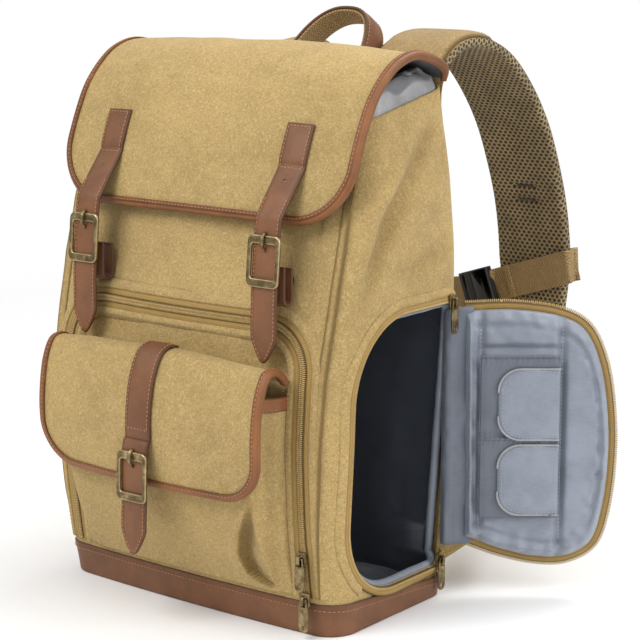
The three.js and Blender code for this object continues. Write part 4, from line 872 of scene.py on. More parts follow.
# The leather band: a slab of (height, out) carried round the body's rings
def baseBand():
    share = np.linspace(0, 1, 15)
    turn = np.linspace(0, pi, 7)[1:-1]
    radius = leatherThickness / 2
    z0 = 0.15
    outline = bodyRings([10.0], 0.0)[0]
    top = bandHeight(outline[:, 1]) - radius
    heights = z0 + radius + share[:, None] * (top - z0 - radius)[None, :]
    ring = lambda z, out: vec(*(bodyRings(z.mean(1), out)[..., k] for k in range(2)), z)
    face = ring(heights, gap + leatherThickness)
    swell = 0.5 * relief(face, 34, 5) * smooth(0, 0.3, share)[:, None] * smooth(1, 0.6, share)[:, None]
    face = face + gridNormals(face) * swell[..., None]
    back = ring(heights, gap)
    middle = (face + back) / 2
    half = (face - back) / 2
    lip = [middle[-1] + half[-1] * np.cos(a) + np.array([0, 0, radius]) * np.sin(a) for a in turn]
    foot = [middle[0] - half[0] * np.cos(a) - np.array([0, 0, radius]) * np.sin(a) for a in turn]
    grid = np.concatenate([face, np.stack(lip), back[::-1], np.stack(foot), face[:1]])
    run = lengths(outline)
    level = heights.mean(1)
    rowsUp = np.concatenate([level, np.full(5, 31.0), level[::-1], np.zeros(6)])
    uv = vec(run[None, :], rowsUp[:, None])
    edge = np.concatenate([smooth(0.86, 1.0, share) * 0.6, np.full(5, 1.0), np.zeros(15), np.full(6, 0.6)])
    addGrid("base_band_leather", grid, leather, "leather", nodes=("base_band",), uv=uv, edge=edge[:, None])
    line = face[-1] - np.array([0, 0, bandPlan["stitch"]])
    sew(line, gridNormals(face)[-2], "leather", 3.8)


baseBand()
print("body ready")

# Panels that hang over a profile


# place(s, a, h) of a panel: its profile in (y, z) carries a line across that bows back by
# bow * a^2, is half wide, and narrows near the end as a quarter round of the corner
def panelPlace(profile, half, corner, bow, grow=0.0):
    line = curveThrough(profile, 400)
    run = lengths(line)
    length = run[-1]
    tangent = unit(np.gradient(line, axis=0))

    def across(s):
        radius = corner + grow
        over = np.clip(s - (length + grow - radius), 0, radius)
        return half + grow - radius + np.sqrt(np.maximum(radius**2 - over**2, 0))

    def lift(x, s, h):
        t = [np.interp(s, run, tangent[:, k]) for k in range(2)]
        past = s - np.clip(s, 0, length)
        y = np.interp(s, run, line[:, 0]) + t[0] * past
        z = np.interp(s, run, line[:, 1]) + t[1] * past
        out = h - (bow[0] + (bow[1] - bow[0]) * s / length) * (x / half) ** 2
        depth = y + t[1] * out
        return vec(x * (1 - 0.1 * smooth(58, 74, depth)), depth, z - t[0] * out)

    return lambda s, a, h: lift(a * across(s), s, h), lift, length


# The rim of a panel: x and distance along the profile, from one side over the end to the other
def panelRim(length, half, corner, start, inset=0.0, count=240):
    turn = np.radians(np.linspace(0, 90, 14))
    h, l, c = half - inset, length - inset, corner - inset
    side = np.array([[h, start], [h, l - c]])
    arc = np.stack([h - c + c * np.cos(turn), l - c + c * np.sin(turn)], -1)
    right = np.vstack([side, arc[1:]])
    line = np.vstack([right, right[::-1] * np.array([-1, 1])])
    return resample(line, count)


# A leather binding folded over the rim: a U of (inset, height) carried along it
def binding(name, node, lift, length, half, corner, start, low, high, width=7.0, skin=1.2):
    count = 420
    rim = panelRim(length, half, corner, start, 0.0, count)
    tangent = unit(np.gradient(rim, axis=0))
    inward = np.stack([-tangent[:, 1], tangent[:, 0]], -1)
    inward *= np.where((inward * (np.array([0, length * 0.6]) - rim)).sum(1) > 0, 1, -1)[:, None]
    turn = np.linspace(0, pi, 9)
    middle, reach = (low + high) / 2, (high - low) / 2
    outer = [(width, high), (width * 0.8, high + 0.12), (width * 0.5, high + 0.15), (reach + 0.3, high)]
    outer += [(reach - reach * np.sin(a), middle + reach * np.cos(a)) for a in turn[1:-1]]
    outer += [(reach + 0.3, low), (width * 0.5, low - 0.1), (width, low)]
    r2 = reach - skin
    back = [(width, low + skin), (reach, low + skin)]
    back += [(reach - r2 * np.sin(a), middle - r2 * np.cos(a)) for a in turn[1:-1]]
    back += [(reach, high - skin), (width, high - skin), (width, high)]
    profile = np.array(outer + back)
    place = rim[:, None, :] + inward[:, None, :] * profile[None, :, :1]
    grid = lift(place[..., 0], place[..., 1], np.broadcast_to(profile[None, :, 1], place.shape[:2]))
    # the skin is dark at its cut edge and a little at the fold, and wobbles on its outside
    place = np.arange(len(profile))
    edge = np.where(place < 2, 0.75, 0.0) + np.where((place > 4) & (place < 10), 0.35, 0)
    closed, runs = capped(grid, lengths(grid[:, 4]))
    uv = vec(runs[:, None], lengths(profile)[None, :])
    wobble = 0.22 * relief(closed, 16, 3)
    closed = closed + gridNormals(closed) * (wobble * (place < len(outer)))[..., None]
    addGrid(name, closed[:, ::-1], bindingLeather, "leather", nodes=(node,), uv=uv[:, ::-1],
            edge=edge[None, ::-1] + 0 * closed[..., 0])
    seat = rim + inward * (width - 1.9)
    line = lift(seat[:, 0], seat[:, 1], np.full(count, high + 0.2))
    above = lift(seat[:, 0], seat[:, 1], np.full(count, high + 1.2))
    sew(line[4:-4], unit(above - line)[4:-4], "leather", 3.5)


# how far a flap's canvas ends inside its binding, and the binding's skin with its gap
insideBinding, bindingSkin = -1.55, 1.2 + gap
flapPlan = {"half": 151, "corner": 50, "bow": (3, 8), "bindingFrom": 34, "dent": 1.5}
flapProfile = [
    (73.5, 392), (73, 414), (63, 434), (41, 445), (15, 449), (-12, 441),
    (-37, 420), (-52, 396), (-63, 371), (-71, 346), (-78, 321.5),
]
flapLift, flapLength = panelPlace(flapProfile, flapPlan["half"], flapPlan["corner"], flapPlan["bow"])[1:3]


# The main flap: a canvas slab over its profile, its face dented by relief, with a dark lining
def mainFlap():
    p = flapPlan
    place, _, length = panelPlace(flapProfile, p["half"], p["corner"], p["bow"], insideBinding)
    face = lambda s, a: vec(a * p["half"], s, 0 * s * a)
    ripple = lambda s, a: p["dent"] * (
        relief(face(s, a), 58, 11) * 0.8 + relief(face(s, a), 24, 12) * 0.3
    ) * smooth(1.0, 0.9, np.abs(a)) * smooth(0, 40, s) * smooth(length, length - 14, s)
    stations = np.linspace(0.3, length + insideBinding - 0.05, 110)
    addSlab("main_flap_canvas", place, stations, 0.0, canvasThickness, p["half"], canvas, "canvas",
            columns=90, lift=ripple, nodes=("main_flap",))
    under = panelPlace(flapProfile, p["half"], p["corner"], p["bow"], insideBinding - 0.5)[0]
    stations = np.linspace(36, length + insideBinding - 0.6, 80)
    addSlab("main_flap_under", under, stations, -liningThickness - gap, -gap, p["half"], darkLining,
            "dark_lining", columns=60, nodes=("main_flap_lining",))
    binding("main_flap_edge", "main_flap_binding", flapLift, length, p["half"], p["corner"],
            p["bindingFrom"], -liningThickness - gap - bindingSkin, canvasThickness + bindingSkin)


mainFlap()

pocketFlapPlan = {"half": 116, "corner": 38, "bow": (4, 6), "dent": 1.3}
pocketFlapProfile = [
    (-95, 206.5), (-103, 214.5), (-113, 218), (-123, 214), (-131, 198),
    (-135.5, 175), (-136.5, 150), (-134, 128), (-131, 113),
]
pocketFlapLift, pocketFlapLength = panelPlace(
    pocketFlapProfile, pocketFlapPlan["half"], pocketFlapPlan["corner"], pocketFlapPlan["bow"]
)[1:3]


def pocketFlap():
    p = pocketFlapPlan
    place, _, length = panelPlace(pocketFlapProfile, p["half"], p["corner"], p["bow"], insideBinding)
    face = lambda s, a: vec(a * p["half"], s, 0 * s * a)
    ripple = lambda s, a: p["dent"] * (
        relief(face(s, a), 46, 21) * 0.8 + relief(face(s, a), 20, 22) * 0.35
    ) * smooth(1.0, 0.88, np.abs(a)) * smooth(0, 16, s) * smooth(length, length - 12, s)
    stations = np.linspace(0.2, length - 1.6, 74)
    addSlab("pocket_flap_canvas", place, stations, 0.0, canvasThickness, p["half"], canvas, "canvas",
            columns=76, lift=ripple, nodes=("pocket_flap",))
    binding("pocket_flap_edge", "pocket_flap_binding", pocketFlapLift, length, p["half"], p["corner"],
            0.0, -bindingSkin, canvasThickness + bindingSkin)


pocketFlap()
print("flaps ready")

# Straps and buckles


# A round bar along a line: rings of points at a radius, with closed ends
def tubeGrid(line, radius, sides=10, closed=False, flatten=1.0, up=(0, 0, 1)):
    line = np.asarray(line, float)
    along = np.gradient(line, axis=0)
    if closed:
        along[0] = along[-1] = line[1] - line[-2]
    along = unit(along)
    hint = np.broadcast_to(np.asarray(up, float), line.shape)
    side = unit(np.cross(along, hint))
    top = np.cross(side, along)
    turn = np.linspace(0, 2 * pi, sides + 1)
    size = np.broadcast_to(radius, (len(line),)).astype(float).copy()
    grid = line[:, None] + size[:, None, None] * (
        side[:, None] * np.cos(turn)[None, :, None] + top[:, None] * np.sin(turn)[None, :, None] * flatten
    )
    run = lengths(line)
    if not closed:
        lead = line[:1, None] + 0 * grid[:1] - along[:1, None] * size[0] * 0.5
        tail = line[-1:, None] + 0 * grid[:1] + along[-1:, None] * size[-1] * 0.5
        grid = np.concatenate([lead, grid, tail])
        run = np.concatenate([run[:1], run, run[-1:]])
    uv = vec(run[:, None], (turn * size.mean())[None, :])
    return grid, uv


def addTube(name, line, radius, finish, slot, sides=10, closed=False, flatten=1.0, up=(0, 0, 1), **more):
    grid, uv = tubeGrid(line, radius, sides, closed, flatten, up)
    return addGrid(name, grid[:, ::-1], finish, slot, uv=uv[:, ::-1], **more)


# Half widths of a strap that ends in a point: an ellipse over the taper, times a slant
def pointedHalves(run, half, taper=20):
    left = np.clip((run[-1] - run) / taper, 0, 1)
    return half * np.maximum(np.sqrt(1 - (1 - left) ** 2) * (0.55 + 0.45 * left), 0.05)


strapPlan = {"width": 25, "spacing": 188, "taper": 20, "seam": 2.3, "dome": 0.5}


# Sews a row down both long edges of a strap, between two distances
def sewStrap(place, halves, run, start, end, height, cross=()):
    s = np.linspace(start, end, 160)
    halfHere = np.interp(s, run, halves)
    wide = halfHere > strapPlan["seam"] + 1.2
    s, halfHere = s[wide], halfHere[wide]
    for sign in (-1, 1):
        sewOn(place, s, sign * (1 - strapPlan["seam"] / halfHere), height, height + 1)
    for at in cross:
        sewOn(place, at, np.linspace(-0.8, 0.8, 12), height, height + 1)


# A leather strap: a slab along its line, domed by dome * (1 - a^2), with a groove for its stitches
def leatherStrap(name, node, line, hint, width):
    _, across, out = strapFrames(line, hint)
    out *= np.where(out[:, 1].mean() < 0, 1, -1)
    half = width / 2
    place, length = strapPlace(line, across, out, pointedHalves(lengths(line), half, strapPlan["taper"]))

    def lift(s, a):
        groove = -0.4 * bell((1 - np.abs(a)) * half - strapPlan["seam"], 0.8) * (s > 0)
        return strapPlan["dome"] * (1 - a**2) + groove + 0.25 * relief(vec(a * 30, s, 0 * s * a), 18, 31)

    addSlab(name, place, np.linspace(0, length, 150), 0.0, leatherThickness, half, leather, "leather",
            columns=22, rounding=0.9, lift=lift, nodes=(node,))
    return place, length


# Outline of a rounded rectangle, with the same number of points for any size
def roundedOutline(width, height, radius, arc=7, side=9):
    w, h = width / 2 - radius, height / 2 - radius
    corners = [(w, -h, -90), (w, h, 0), (-w, h, 90), (-w, -h, 180)]
    points = []
    for k, (cx, cz, start) in enumerate(corners):
        turn = np.radians(start + np.linspace(0, 90, arc))
        points.append(np.stack([cx + radius * np.cos(turn), cz + radius * np.sin(turn)], -1))
    line = []
    for k in range(4):
        following = points[(k + 1) % 4][0]
        t = np.linspace(0, 1, side, endpoint=False)[1:, None]
        line += [points[k], points[k][-1] + (following - points[k][-1]) * t]
    line = np.vstack(line)
    return np.vstack([line, line[:1]])


bucklePlan = {"width": 31, "height": 40, "depth": 3.2, "side": 3.6, "bar": 7, "corner": 5, "prong": 1.35}


# A buckle frame: two rounded outlines joined by a cushion profile, its height a flattened sine
def buckle(name, node, prongNode, x, top, bottom):
    p = bucklePlan
    lean = np.array([bottom[0] - top[0], bottom[1] - top[1]])
    down = lean / np.linalg.norm(lean)
    middle = (np.array(top) + np.array(bottom)) / 2
    out = np.array([down[1], -down[0]])
    out *= 1 if out[0] < 0 else -1
    toWorld = lambda u, w, h: vec(x + u, *(middle[k] - down[k] * w + out[k] * h for k in range(2)))
    outer = roundedOutline(p["width"], p["height"], p["corner"])
    inner = roundedOutline(p["width"] - 2 * p["side"], p["height"] - 2 * p["bar"], 2.2)
    t = np.linspace(0, pi, 11)
    across = np.concatenate([(1 - np.cos(t)) / 2, [1.0, 0.75, 0.25, 0.0]])
    height = np.concatenate([0.5 + (p["depth"] - 0.5) * np.sin(t) ** 0.45, [0.3, 0.0, 0.0, 0.5]]) + gap
    height[-1], across[-1] = height[0], across[0]
    outline = outer[:, None] * (1 - across)[None, :, None] + inner[:, None] * across[None, :, None]
    # the wide bars have a shallow pressed border
    high, low = p["height"] / 2, p["height"] / 2 - p["bar"]
    bars = smooth(low - 1, low + 1, np.abs(outline[..., 1]))
    press = 0.55 * bars * smooth(0.15, 0.3, across)[None] * smooth(0.85, 0.7, across)[None]
    heights = height[None, :] - press * (np.arange(len(height)) < 11)
    grid = toWorld(outline[..., 0], outline[..., 1], heights)
    edge = np.zeros(len(across))
    edge[[1, 2, 8, 9]] = (0.9, 0.6, 0.6, 0.9)
    addGrid(name, grid[:, ::-1], brass, "antique_brass", nodes=(node,), edge=edge[None, ::-1])
    # the prong is bent round the upper bar, and its tip stands in a hole of the strap
    face = p["depth"] + gap
    route = [(high + 0.9, 1.0), (high + 0.6, face - 0.4), (high - 1.5, face + 1.3), (high - 4, face + 1.7),
             (low, face + 1.3), (low - 2.5, face - 0.6), (low - 5.5, gap + 0.2)]
    line = curveThrough(route, 26)
    size = p["prong"] * np.interp(np.linspace(0, 1, 26), [0, 0.55, 1], [1.15, 1.05, 0.62])
    addTube(name + "_prong", toWorld(0 * line[:, 0], line[:, 0], line[:, 1]), size, brass, "antique_brass",
            nodes=(prongNode,), up=(1, 0, 0), sides=10)


# the free part of a flap strap, in (y, z)
flapStrapFree = [
    (-88.5, 333), (-93.5, 322), (-98.5, 272), (-99.2, 250), (-99.6, 236), (-100.1, 222), (-100.2, 218),
]


# A share of the way between the second and third points of (y, z), moved out of the strap's face
def faceAt(free, share):
    a, b = np.array(free[1]), np.array(free[2])
    lean = (b - a) / np.linalg.norm(b - a)
    return a + (b - a) * share + np.array([lean[1], -lean[0]]) * (leatherThickness + gap)


# An eyelet: a flat ring on a strap's face
def eyelet(name, middle, out, size=1.5):
    out = unit(np.asarray(out, float))
    side = unit(np.cross(out, [0, 0, 1.0]))
    turn = np.linspace(0, 2 * pi, 17)
    ring = middle + size * (side * np.cos(turn)[:, None] + np.cross(out, side) * np.sin(turn)[:, None])
    addTube(name, ring, 0.45, brass, "antique_brass", sides=6, closed=True, up=out)


def flapStraps():
    for side, sign in (("left", -1), ("right", 1)):
        x = sign * strapPlan["spacing"] / 2
        stations = np.linspace(0.705, 0.845, 6) * flapLength
        height = np.full(6, canvasThickness + gap)
        sewn = flapLift(np.full(6, x), stations, height)
        right, left = (flapLift(np.full(6, x + d), stations, height) for d in (1.0, -1.0))
        tilt = unit(right - left)
        free = vec(x, *np.array(flapStrapFree).T)
        points = np.vstack([sewn, free])
        line = curveThrough(points, 240)
        hints = np.vstack([tilt, np.tile([1.0, 0, 0], (len(free), 1))])
        run = lengths(points)
        hint = readAt(np.linspace(0, 1, 240), run / run[-1], hints)
        sewnLength = stations[-1] - stations[0]
        place, length = leatherStrap(f"flap_strap_{side}_leather", f"flap_strap_{side}", line, hint,
                                     strapPlan["width"])
        run = lengths(line)
        halves = pointedHalves(run, strapPlan["width"] / 2)
        top = leatherThickness + 0.35
        sewStrap(place, halves, run, 2.4, sewnLength - 1.0, top, (2.4, sewnLength - 1.0))
        sewStrap(place, halves, run, sewnLength + 26, length - 2.2, top)
        hole = np.full(2, float(sewnLength + 11))
        spot, above = place(hole, np.zeros(2), np.array([top + 0.3, top + 9.0]))
        eyelet(f"flap_strap_{side}_eyelet", spot, above - spot)
        buckle(f"flap_buckle_{side}_frame", f"flap_buckle_{side}", f"flap_prong_{side}", x,
               faceAt(flapStrapFree, 0.11), faceAt(flapStrapFree, 0.95))
        snapTab(side, x + 4)


# The tab behind each buckle: a strip folded on itself and pressed onto a domed stud
def snapTab(side, x):
    back = flapStrapFree[1][0] + 0.6 * (flapStrapFree[2][0] - flapStrapFree[1][0]) + gap + leatherThickness
    front = back + 0.4
    rear = float(frontDepth(x - strapPlan["width"] / 2, 262.0, gap)) - 1.2
    fold = (front + rear) / 2
    mix = lambda a, b, t: a + (b - a) * t
    thick = min(leatherThickness, (rear - front) / 3)
    route = [(front, 292), (front, 268), (mix(front, fold, 0.35), 262.5), (fold, 261),
             (mix(rear, fold, 0.35), 262.5), (rear, 268), (rear, 290)]
    line = curveThrough(vec(x, *np.array(route).T), 90)
    _, across, out = strapFrames(line, (1, 0, 0))
    if out[2, 1] > 0:
        out = -out
    half = strapPlan["width"] / 2 - 2
    place, length = strapPlace(line, across, out, np.full(len(line), half))
    addSlab(f"snap_tab_{side}_leather", place, np.linspace(0, length, 80), -thick, 0.0, half, leather,
            "leather", columns=12, rounding=thick / 2.2, nodes=(f"snap_tab_{side}",))
    # the stud: a dome turned about Y over a short stem
    low, high = boxOf(f"snap_stud_{side}")
    turn = np.linspace(0, 2 * pi, 33)
    profile = np.array([
        (0.0, 0.0), (0.7, 0.05), (0.95, 0.2), (1.0, 0.45), (0.82, 0.6), (0.8, 1.0), (0.0, 1.0),
    ])
    radius = (high[0] - low[0]) / 2
    middle = (low + high) / 2
    radial = profile[:, 0, None] * radius
    y = low[1] + profile[:, 1, None] * (high[1] - low[1])
    grid = vec(middle[0] + radial * np.cos(turn), y + 0 * turn, middle[2] + radial * np.sin(turn))
    addGrid(f"snap_stud_{side}_cap", grid, brass, "antique_brass", nodes=(f"snap_stud_{side}",))


flapStraps()

pocketStrapFree = [
    (-141.2, 150), (-143.5, 142), (-145, 104), (-145.8, 90), (-146.2, 78), (-146.6, 70), (-146.8, 64),
    (-146.9, 60),
]


def pocketStrap():
    stations = np.linspace(0.12, 0.72, 12) * pocketFlapLength
    sewn = pocketFlapLift(np.zeros(12), stations, np.full(12, canvasThickness + 2 * gap))
    free = vec(0, *np.array(pocketStrapFree).T)
    line = curveThrough(np.vstack([sewn, free]), 260)
    place, length = leatherStrap("pocket_strap_leather", "pocket_strap", line, (1, 0, 0),
                                 strapPlan["width"] + 1)
    run = lengths(line)
    halves = pointedHalves(run, strapPlan["width"] / 2 + 0.5)
    sewnLength = stations[-1] - stations[0]
    top = leatherThickness + 0.35
    sewStrap(place, halves, run, 2.4, sewnLength - 3, top, (sewnLength - 3,))
    sewStrap(place, halves, run, sewnLength + 52, length - 2.2, top)
    buckle("pocket_buckle_frame", "pocket_buckle", "pocket_prong", 0,
           faceAt(pocketStrapFree, -0.05), faceAt(pocketStrapFree, 1.05))


pocketStrap()
print("straps and buckles ready")

# The pocket on the front

# fall is the drop behind the crease, ridge the swell before it, and creaseX its place at creaseZ
pocketPlan = {
    "half": 96, "root": 109.5, "bottom": 33, "mouth": 192, "depth": 36, "fold": 4, "trim": 9,
    "dent": 1.4, "fall": 13, "ridge": 2.6,
    "creaseZ": (33, 38, 47, 60, 66, 84, 107, 125),
    "creaseX": (90, 87, 73, 71, 72, 79, 91, 100),
}
# shares, from the bottom up: height, depth and fold
pocketSections = np.array([
    (0.0, 0.1, 0.1), (0.1, 0.3, 0.7), (0.25, 0.55, 1.0), (0.45, 0.75, 0.9),
    (0.7, 0.92, 0.45), (0.88, 0.97, 0.2), (1.0, 0.94, 0.15),
])


# The pocket's outline from its left root to its right root, at a share of its height. Each side
# has a pleat: its middle is drawn in by the fold, more so low down
def pocketGrid(share, offset, columns=150):
    p = pocketPlan
    share = np.asarray(share, float)[:, None]
    near = np.linspace(-0.05, 0.05, 5)
    depth, fold = (
        np.mean([np.interp(share + d, pocketSections[:, 0], pocketSections[:, k]) for d in near], axis=0)
        for k in (1, 2)
    )
    depth, fold = depth * p["depth"], fold * p["fold"]
    z = p["bottom"] + share * (p["mouth"] - gap - p["bottom"])
    rootY = frontDepth(p["root"], z, gap)
    faceY = rootY - np.maximum(depth, canvasThickness + 2)
    between = lambda a, b, t: a + (b - a) * t
    half = [
        (p["root"] + 0 * z, rootY), (p["root"] - 1.5 + 0 * z, between(rootY, faceY, 0.3)),
        (p["half"] + 7 - fold, between(rootY, faceY, 0.55)),
        (p["half"] + 2 + 0 * z, between(rootY, faceY, 0.85)),
        (p["half"] - 3 + 0 * z, faceY - 0.5), (p["half"] * 0.6 + 0 * z, faceY - 2), (0 * z, faceY - 2.6),
    ]
    mirrored = half[-2::-1]
    x = np.concatenate([-h[0] for h in half] + [h[0] for h in mirrored], axis=1)
    y = np.concatenate([h[1] for h in half] + [h[1] for h in mirrored], axis=1)
    line = np.stack([curveThrough(row, columns) for row in np.stack([x, y], -1)])
    grid = vec(line[..., 0], line[..., 1], z)
    return grid + gridNormals(grid) * offset


# The pocket's canvas, with a crease on its right, and the leather over its mouth
def pocketBody():
    p = pocketPlan
    share = np.linspace(0, 1, 100)
    grid = pocketGrid(share, 0.0, 430)
    normals = gridNormals(grid)
    x, z = grid[..., 0], grid[..., 2]
    rise = share[:, None] + 0 * x
    off = p["dent"] * (0.75 * relief(grid * np.array([1, 0.6, 0.7]), 44, 41) + 0.3 * relief(grid, 19, 42))
    # on the right the cloth breaks over a crease, behind which it falls back and comes up again
    past = x - np.interp(z, p["creaseZ"], p["creaseX"])
    fade = smooth(33, 41, z) * smooth(132, 78, z) * (x > 0)
    behind = np.maximum(past, 0)
    off += fade * p["ridge"] * bell(past + 4.5, 5) * smooth(p["half"] + 2, p["half"] - 8, x)
    fall = fade * smooth(-0.2, 3.2, past) * np.exp(-behind / 15) * smooth(p["half"] + 3, p["half"] - 9, x)
    # painted shade behind the crease: deep at first and then faint
    creaseShade = fade * smooth(-0.7, 0.7, past) * (0.5 * np.exp(-behind / 5) + 0.36 * np.exp(-behind / 20))
    creaseShade *= smooth(p["half"] + 3, p["half"] - 5, x)
    off *= smooth(0.0, 0.08, rise) * smooth(1.0, 0.93, rise)
    off = np.where(np.abs(x) > p["root"] - 3, np.minimum(np.maximum(off, 0), 0.5), off)
    outer = grid + normals * off[..., None] + vec(0, p["fall"] * fall, 0)
    uv = vec(rowRuns(grid), z)
    # the edge attribute carries the crease's painted shade
    piece = addGrid("pocket_canvas", outer, canvas, "canvas", nodes=("pocket_body",), uv=uv, edge=creaseShade)
    thicken(piece, canvasThickness, -1)
    # the trim: leather folded over the mouth's edge
    trimShare = np.linspace(1 - p["trim"] / (p["mouth"] - p["bottom"]), 1, 7)
    face = pocketGrid(trimShare, gap + 1.3)
    back = pocketGrid(trimShare, -canvasThickness - 0.8)
    lip = pocketGrid([0.98, 1.0], -0.7)[-1]
    turn = np.linspace(0, pi, 7)[1:-1]
    over = [lip + np.array([0, 0, 1.5 * np.sin(a)]) + (face[-1] - lip) * np.cos(a) for a in turn]
    grid = np.concatenate([face, np.stack(over), back[::-1]])
    uv = vec(lengths(face[0])[None, :], np.arange(len(grid))[:, None] * 1.5)
    edge = np.concatenate([[0.8], np.zeros(len(grid) - 1)])
    addGrid("pocket_mouth_leather", grid, bindingLeather, "leather", nodes=("pocket_mouth_trim",),
            uv=uv, edge=edge[:, None])
    sew(face[1][6:-6], gridNormals(face)[1][6:-6], "leather", 3.4)


pocketBody()
print("pocket ready")

# Zips

zipPlan = {"halfSpan": 122.5, "top": 246, "bottom": 33, "corner": 38, "pitch": 1.55}


# The front zip's path: up one side, a quarter round, over the top and down the other side
def frontZipLine(count):
    p = zipPlan
    turn = np.radians(np.linspace(0, 90, 16))
    w, t = p["halfSpan"] - p["corner"], p["top"] - p["corner"]
    arc = np.stack([w + p["corner"] * np.cos(turn), t + p["corner"] * np.sin(turn)], -1)
    right = np.vstack([[p["halfSpan"], p["bottom"]], arc])
    line = resample(np.vstack([right, right[::-1] * np.array([-1, 1])]), count)
    along = unit(np.gradient(line, axis=0))
    return line, np.stack([along[:, 1], -along[:, 0]], -1)


# A row of teeth along a line: stitch shapes laid across the tape, on one side of the middle
def toothRow(name, line, across, out, side):
    length = 3.3
    run = lengths(line)
    count = int(run[-1] / zipPlan["pitch"])
    at = (np.arange(count) + 0.25 + 0.25 * side) * run[-1] / count
    pick = lambda values: readAt(at, run, values)
    shape, faces = stitchShape(length, 0.62)
    shape = shape * np.array([1, 1, 1.25])
    acrossAt, outAt = unit(pick(across)), unit(pick(out))
    places = pick(line) + acrossAt * (side * length * 0.36)
    addRepeats(name, shape, faces, places, acrossAt, np.cross(outAt, acrossAt), outAt, coil, "zip_tape")


# The profiles (across, height) of the front zip's tape, of the opening's, of its welt and of the
# door's tape, whose (inset, depth) goes round the door's edge
frontTape = np.array([
    (-10, 0), (-10, 1.1), (-4.4, 1.3), (-3.9, 1.2), (-3.2, 0.9), (-1.2, 1.2), (0, 0.8), (1.2, 1.2),
    (3.2, 0.9), (3.9, 1.2), (4.4, 1.3), (10, 1.1), (10, 0), (-10, 0),
])
openingTape = np.array([
    (-7.2, 0.0), (-7.2, 1.0), (-5, 1.5), (-3.2, 2.2), (-1.2, 2.3), (-0.2, 1.9), (0.3, 0.9),
    (0.2, 0.0), (-7.2, 0.0),
])
openingWelt = (
    (5.6, 1.3), (6.2, 2.1), (7.6, 2.5), (9.2, 2.2), (11.5, 1.2), (13.5, -0.3), (9, -0.2), (5.8, 0.8),
    (5.6, 1.3),
)
doorTape = np.array([
    (0.0, 1.0), (0.4, -0.2), (2.0, -0.6), (4.4, -0.2), (6.2, 0.8), (9.6, 1.2), (9.8, 2.6),
    (5.0, 3.0), (1.2, 2.8), (0.0, 1.0),
])


# The zip over the front: its tape follows the front's depth, with teeth and a welt on both sides
def frontZip():
    line, across = frontZipLine(420)
    acrossTape = frontTape[:, 0]

    def onFront(q, h):
        return vec(q[..., 0], frontDepth(q[..., 0], q[..., 1], h), q[..., 1])

    run = lengths(line)
    spot = line[:, None] + across[:, None] * acrossTape[None, :, None]
    grid, runs = capped(onFront(spot, gap + frontTape[None, :, 1]), run)
    uv = vec(runs[:, None], acrossTape[None, :])
    # painted shade on the tape under and beside the teeth
    dark = (smooth(4.2, 3.2, np.abs(acrossTape)) * 0.8)[None, :]
    addGrid("front_zip_tape", grid, tape, "zip_tape", nodes=("front_zip",), uv=uv, edge=dark)
    at = lambda a, h: onFront(line + across * a, h)
    middle = at(0.0, gap + 2.2)
    out = unit(at(0.0, 4.0) - at(0.0, 1.0))
    side = unit(at(1.0, 2.0) - at(-1.0, 2.0))
    for sign, word in ((-1, "inner"), (1, "outer")):
        toothRow(f"front_zip_{word}_coil", middle, side, out, sign)
    # turned canvas edges lie over both sides of the tape: a welt, its height a lopsided arch
    for sign, word, first, last in ((-1, "inner", 7.6, 15.5), (1, "outer", 8.2, 15.5)):
        t = np.linspace(0, 1, 9)
        a = sign * (first + (last - first) * t)
        arch = gap + 1.0 + 1.5 * np.sin(pi * np.clip(t * 0.85 + 0.12, 0, 1)) ** 0.6 - 2.2 * t**3
        under = np.full(9, gap + 0.1) - 1.0 * t**3
        ring = np.concatenate([a, a[::-1], a[:1]])
        height = np.concatenate([arch, under, arch[:1]])
        welt = onFront(line[:, None] + across[:, None] * ring[None, :, None], height[None, :])
        if sign > 0:
            welt = welt[:, ::-1]
        addGrid(f"front_zip_{word}_welt", welt, canvas, "canvas", uv=vec(run[:, None], ring[None, :]))
        seam = at(sign * 11.6, gap + 2.25)
        sew(seam[6:-6], at(sign * 11.6, 4.0)[6:-6] - seam[6:-6], "canvas", 3.6)


frontZip()


# The half zip round the side opening: a tape on the wall, rising to the coil at the edge
def openingZip():
    count = 460
    t = np.linspace(0, 1, count)

    def onWall(outward, height):
        ahead, z = openingLine(t, outward)
        y = doorPlan["hingeY"] - ahead
        return vec(sideReach(y, z, height), y, z)

    acrossTape = openingTape[:, 0]
    grid = np.stack([onWall(-a, gap + h) for a, h in openingTape], 1)
    # over the leather band the tape stands further out
    above = grid[..., 2] - (bandHeight(grid[..., 1]) + gap + 0.3)
    grid[..., 0] += np.where(above < 1, 2.2, 0) * smooth(1.5, -1.0, above)
    run = lengths(grid[:, 4, 1:])
    grid, runs = capped(grid, run)
    uv = vec(runs[:, None], acrossTape[None, :])
    # painted shade on the tape beside the coil and at its outer edge under the welt
    dark = (smooth(-2.6, -0.6, acrossTape) + bell(acrossTape + 7.2, 0.8))[None, ::-1]
    addGrid("opening_zip_tape", grid[:, ::-1], tape, "zip_tape", nodes=("opening_zip",),
            uv=uv[:, ::-1], edge=dark)
    line = onWall(0.6, gap + 2.0)
    side = unit((onWall(2.0, 0) - onWall(0.6, 0)) * np.array([0, 1, 1]))
    toothRow("opening_zip_coil", line, side, np.tile([1.0, 0, 0], (count, 1)), 1)
    # where the welt would cross the leather band it is sunk into the wall
    welt = np.stack([onWall(*at) for at in openingWelt], 1)
    keep = welt[:, :, 2].min(1) > bandHeight(welt[:, 0, 1]) + 2.5
    welt = np.where(keep[:, None, None], welt, welt - np.array([6.0, 0, 0]))
    addGrid("opening_welt", welt, canvas, "canvas",
            uv=vec(run[:, None], np.linspace(0, 12, welt.shape[1])[None, :]))


openingZip()
print("zips ready")

# The side door


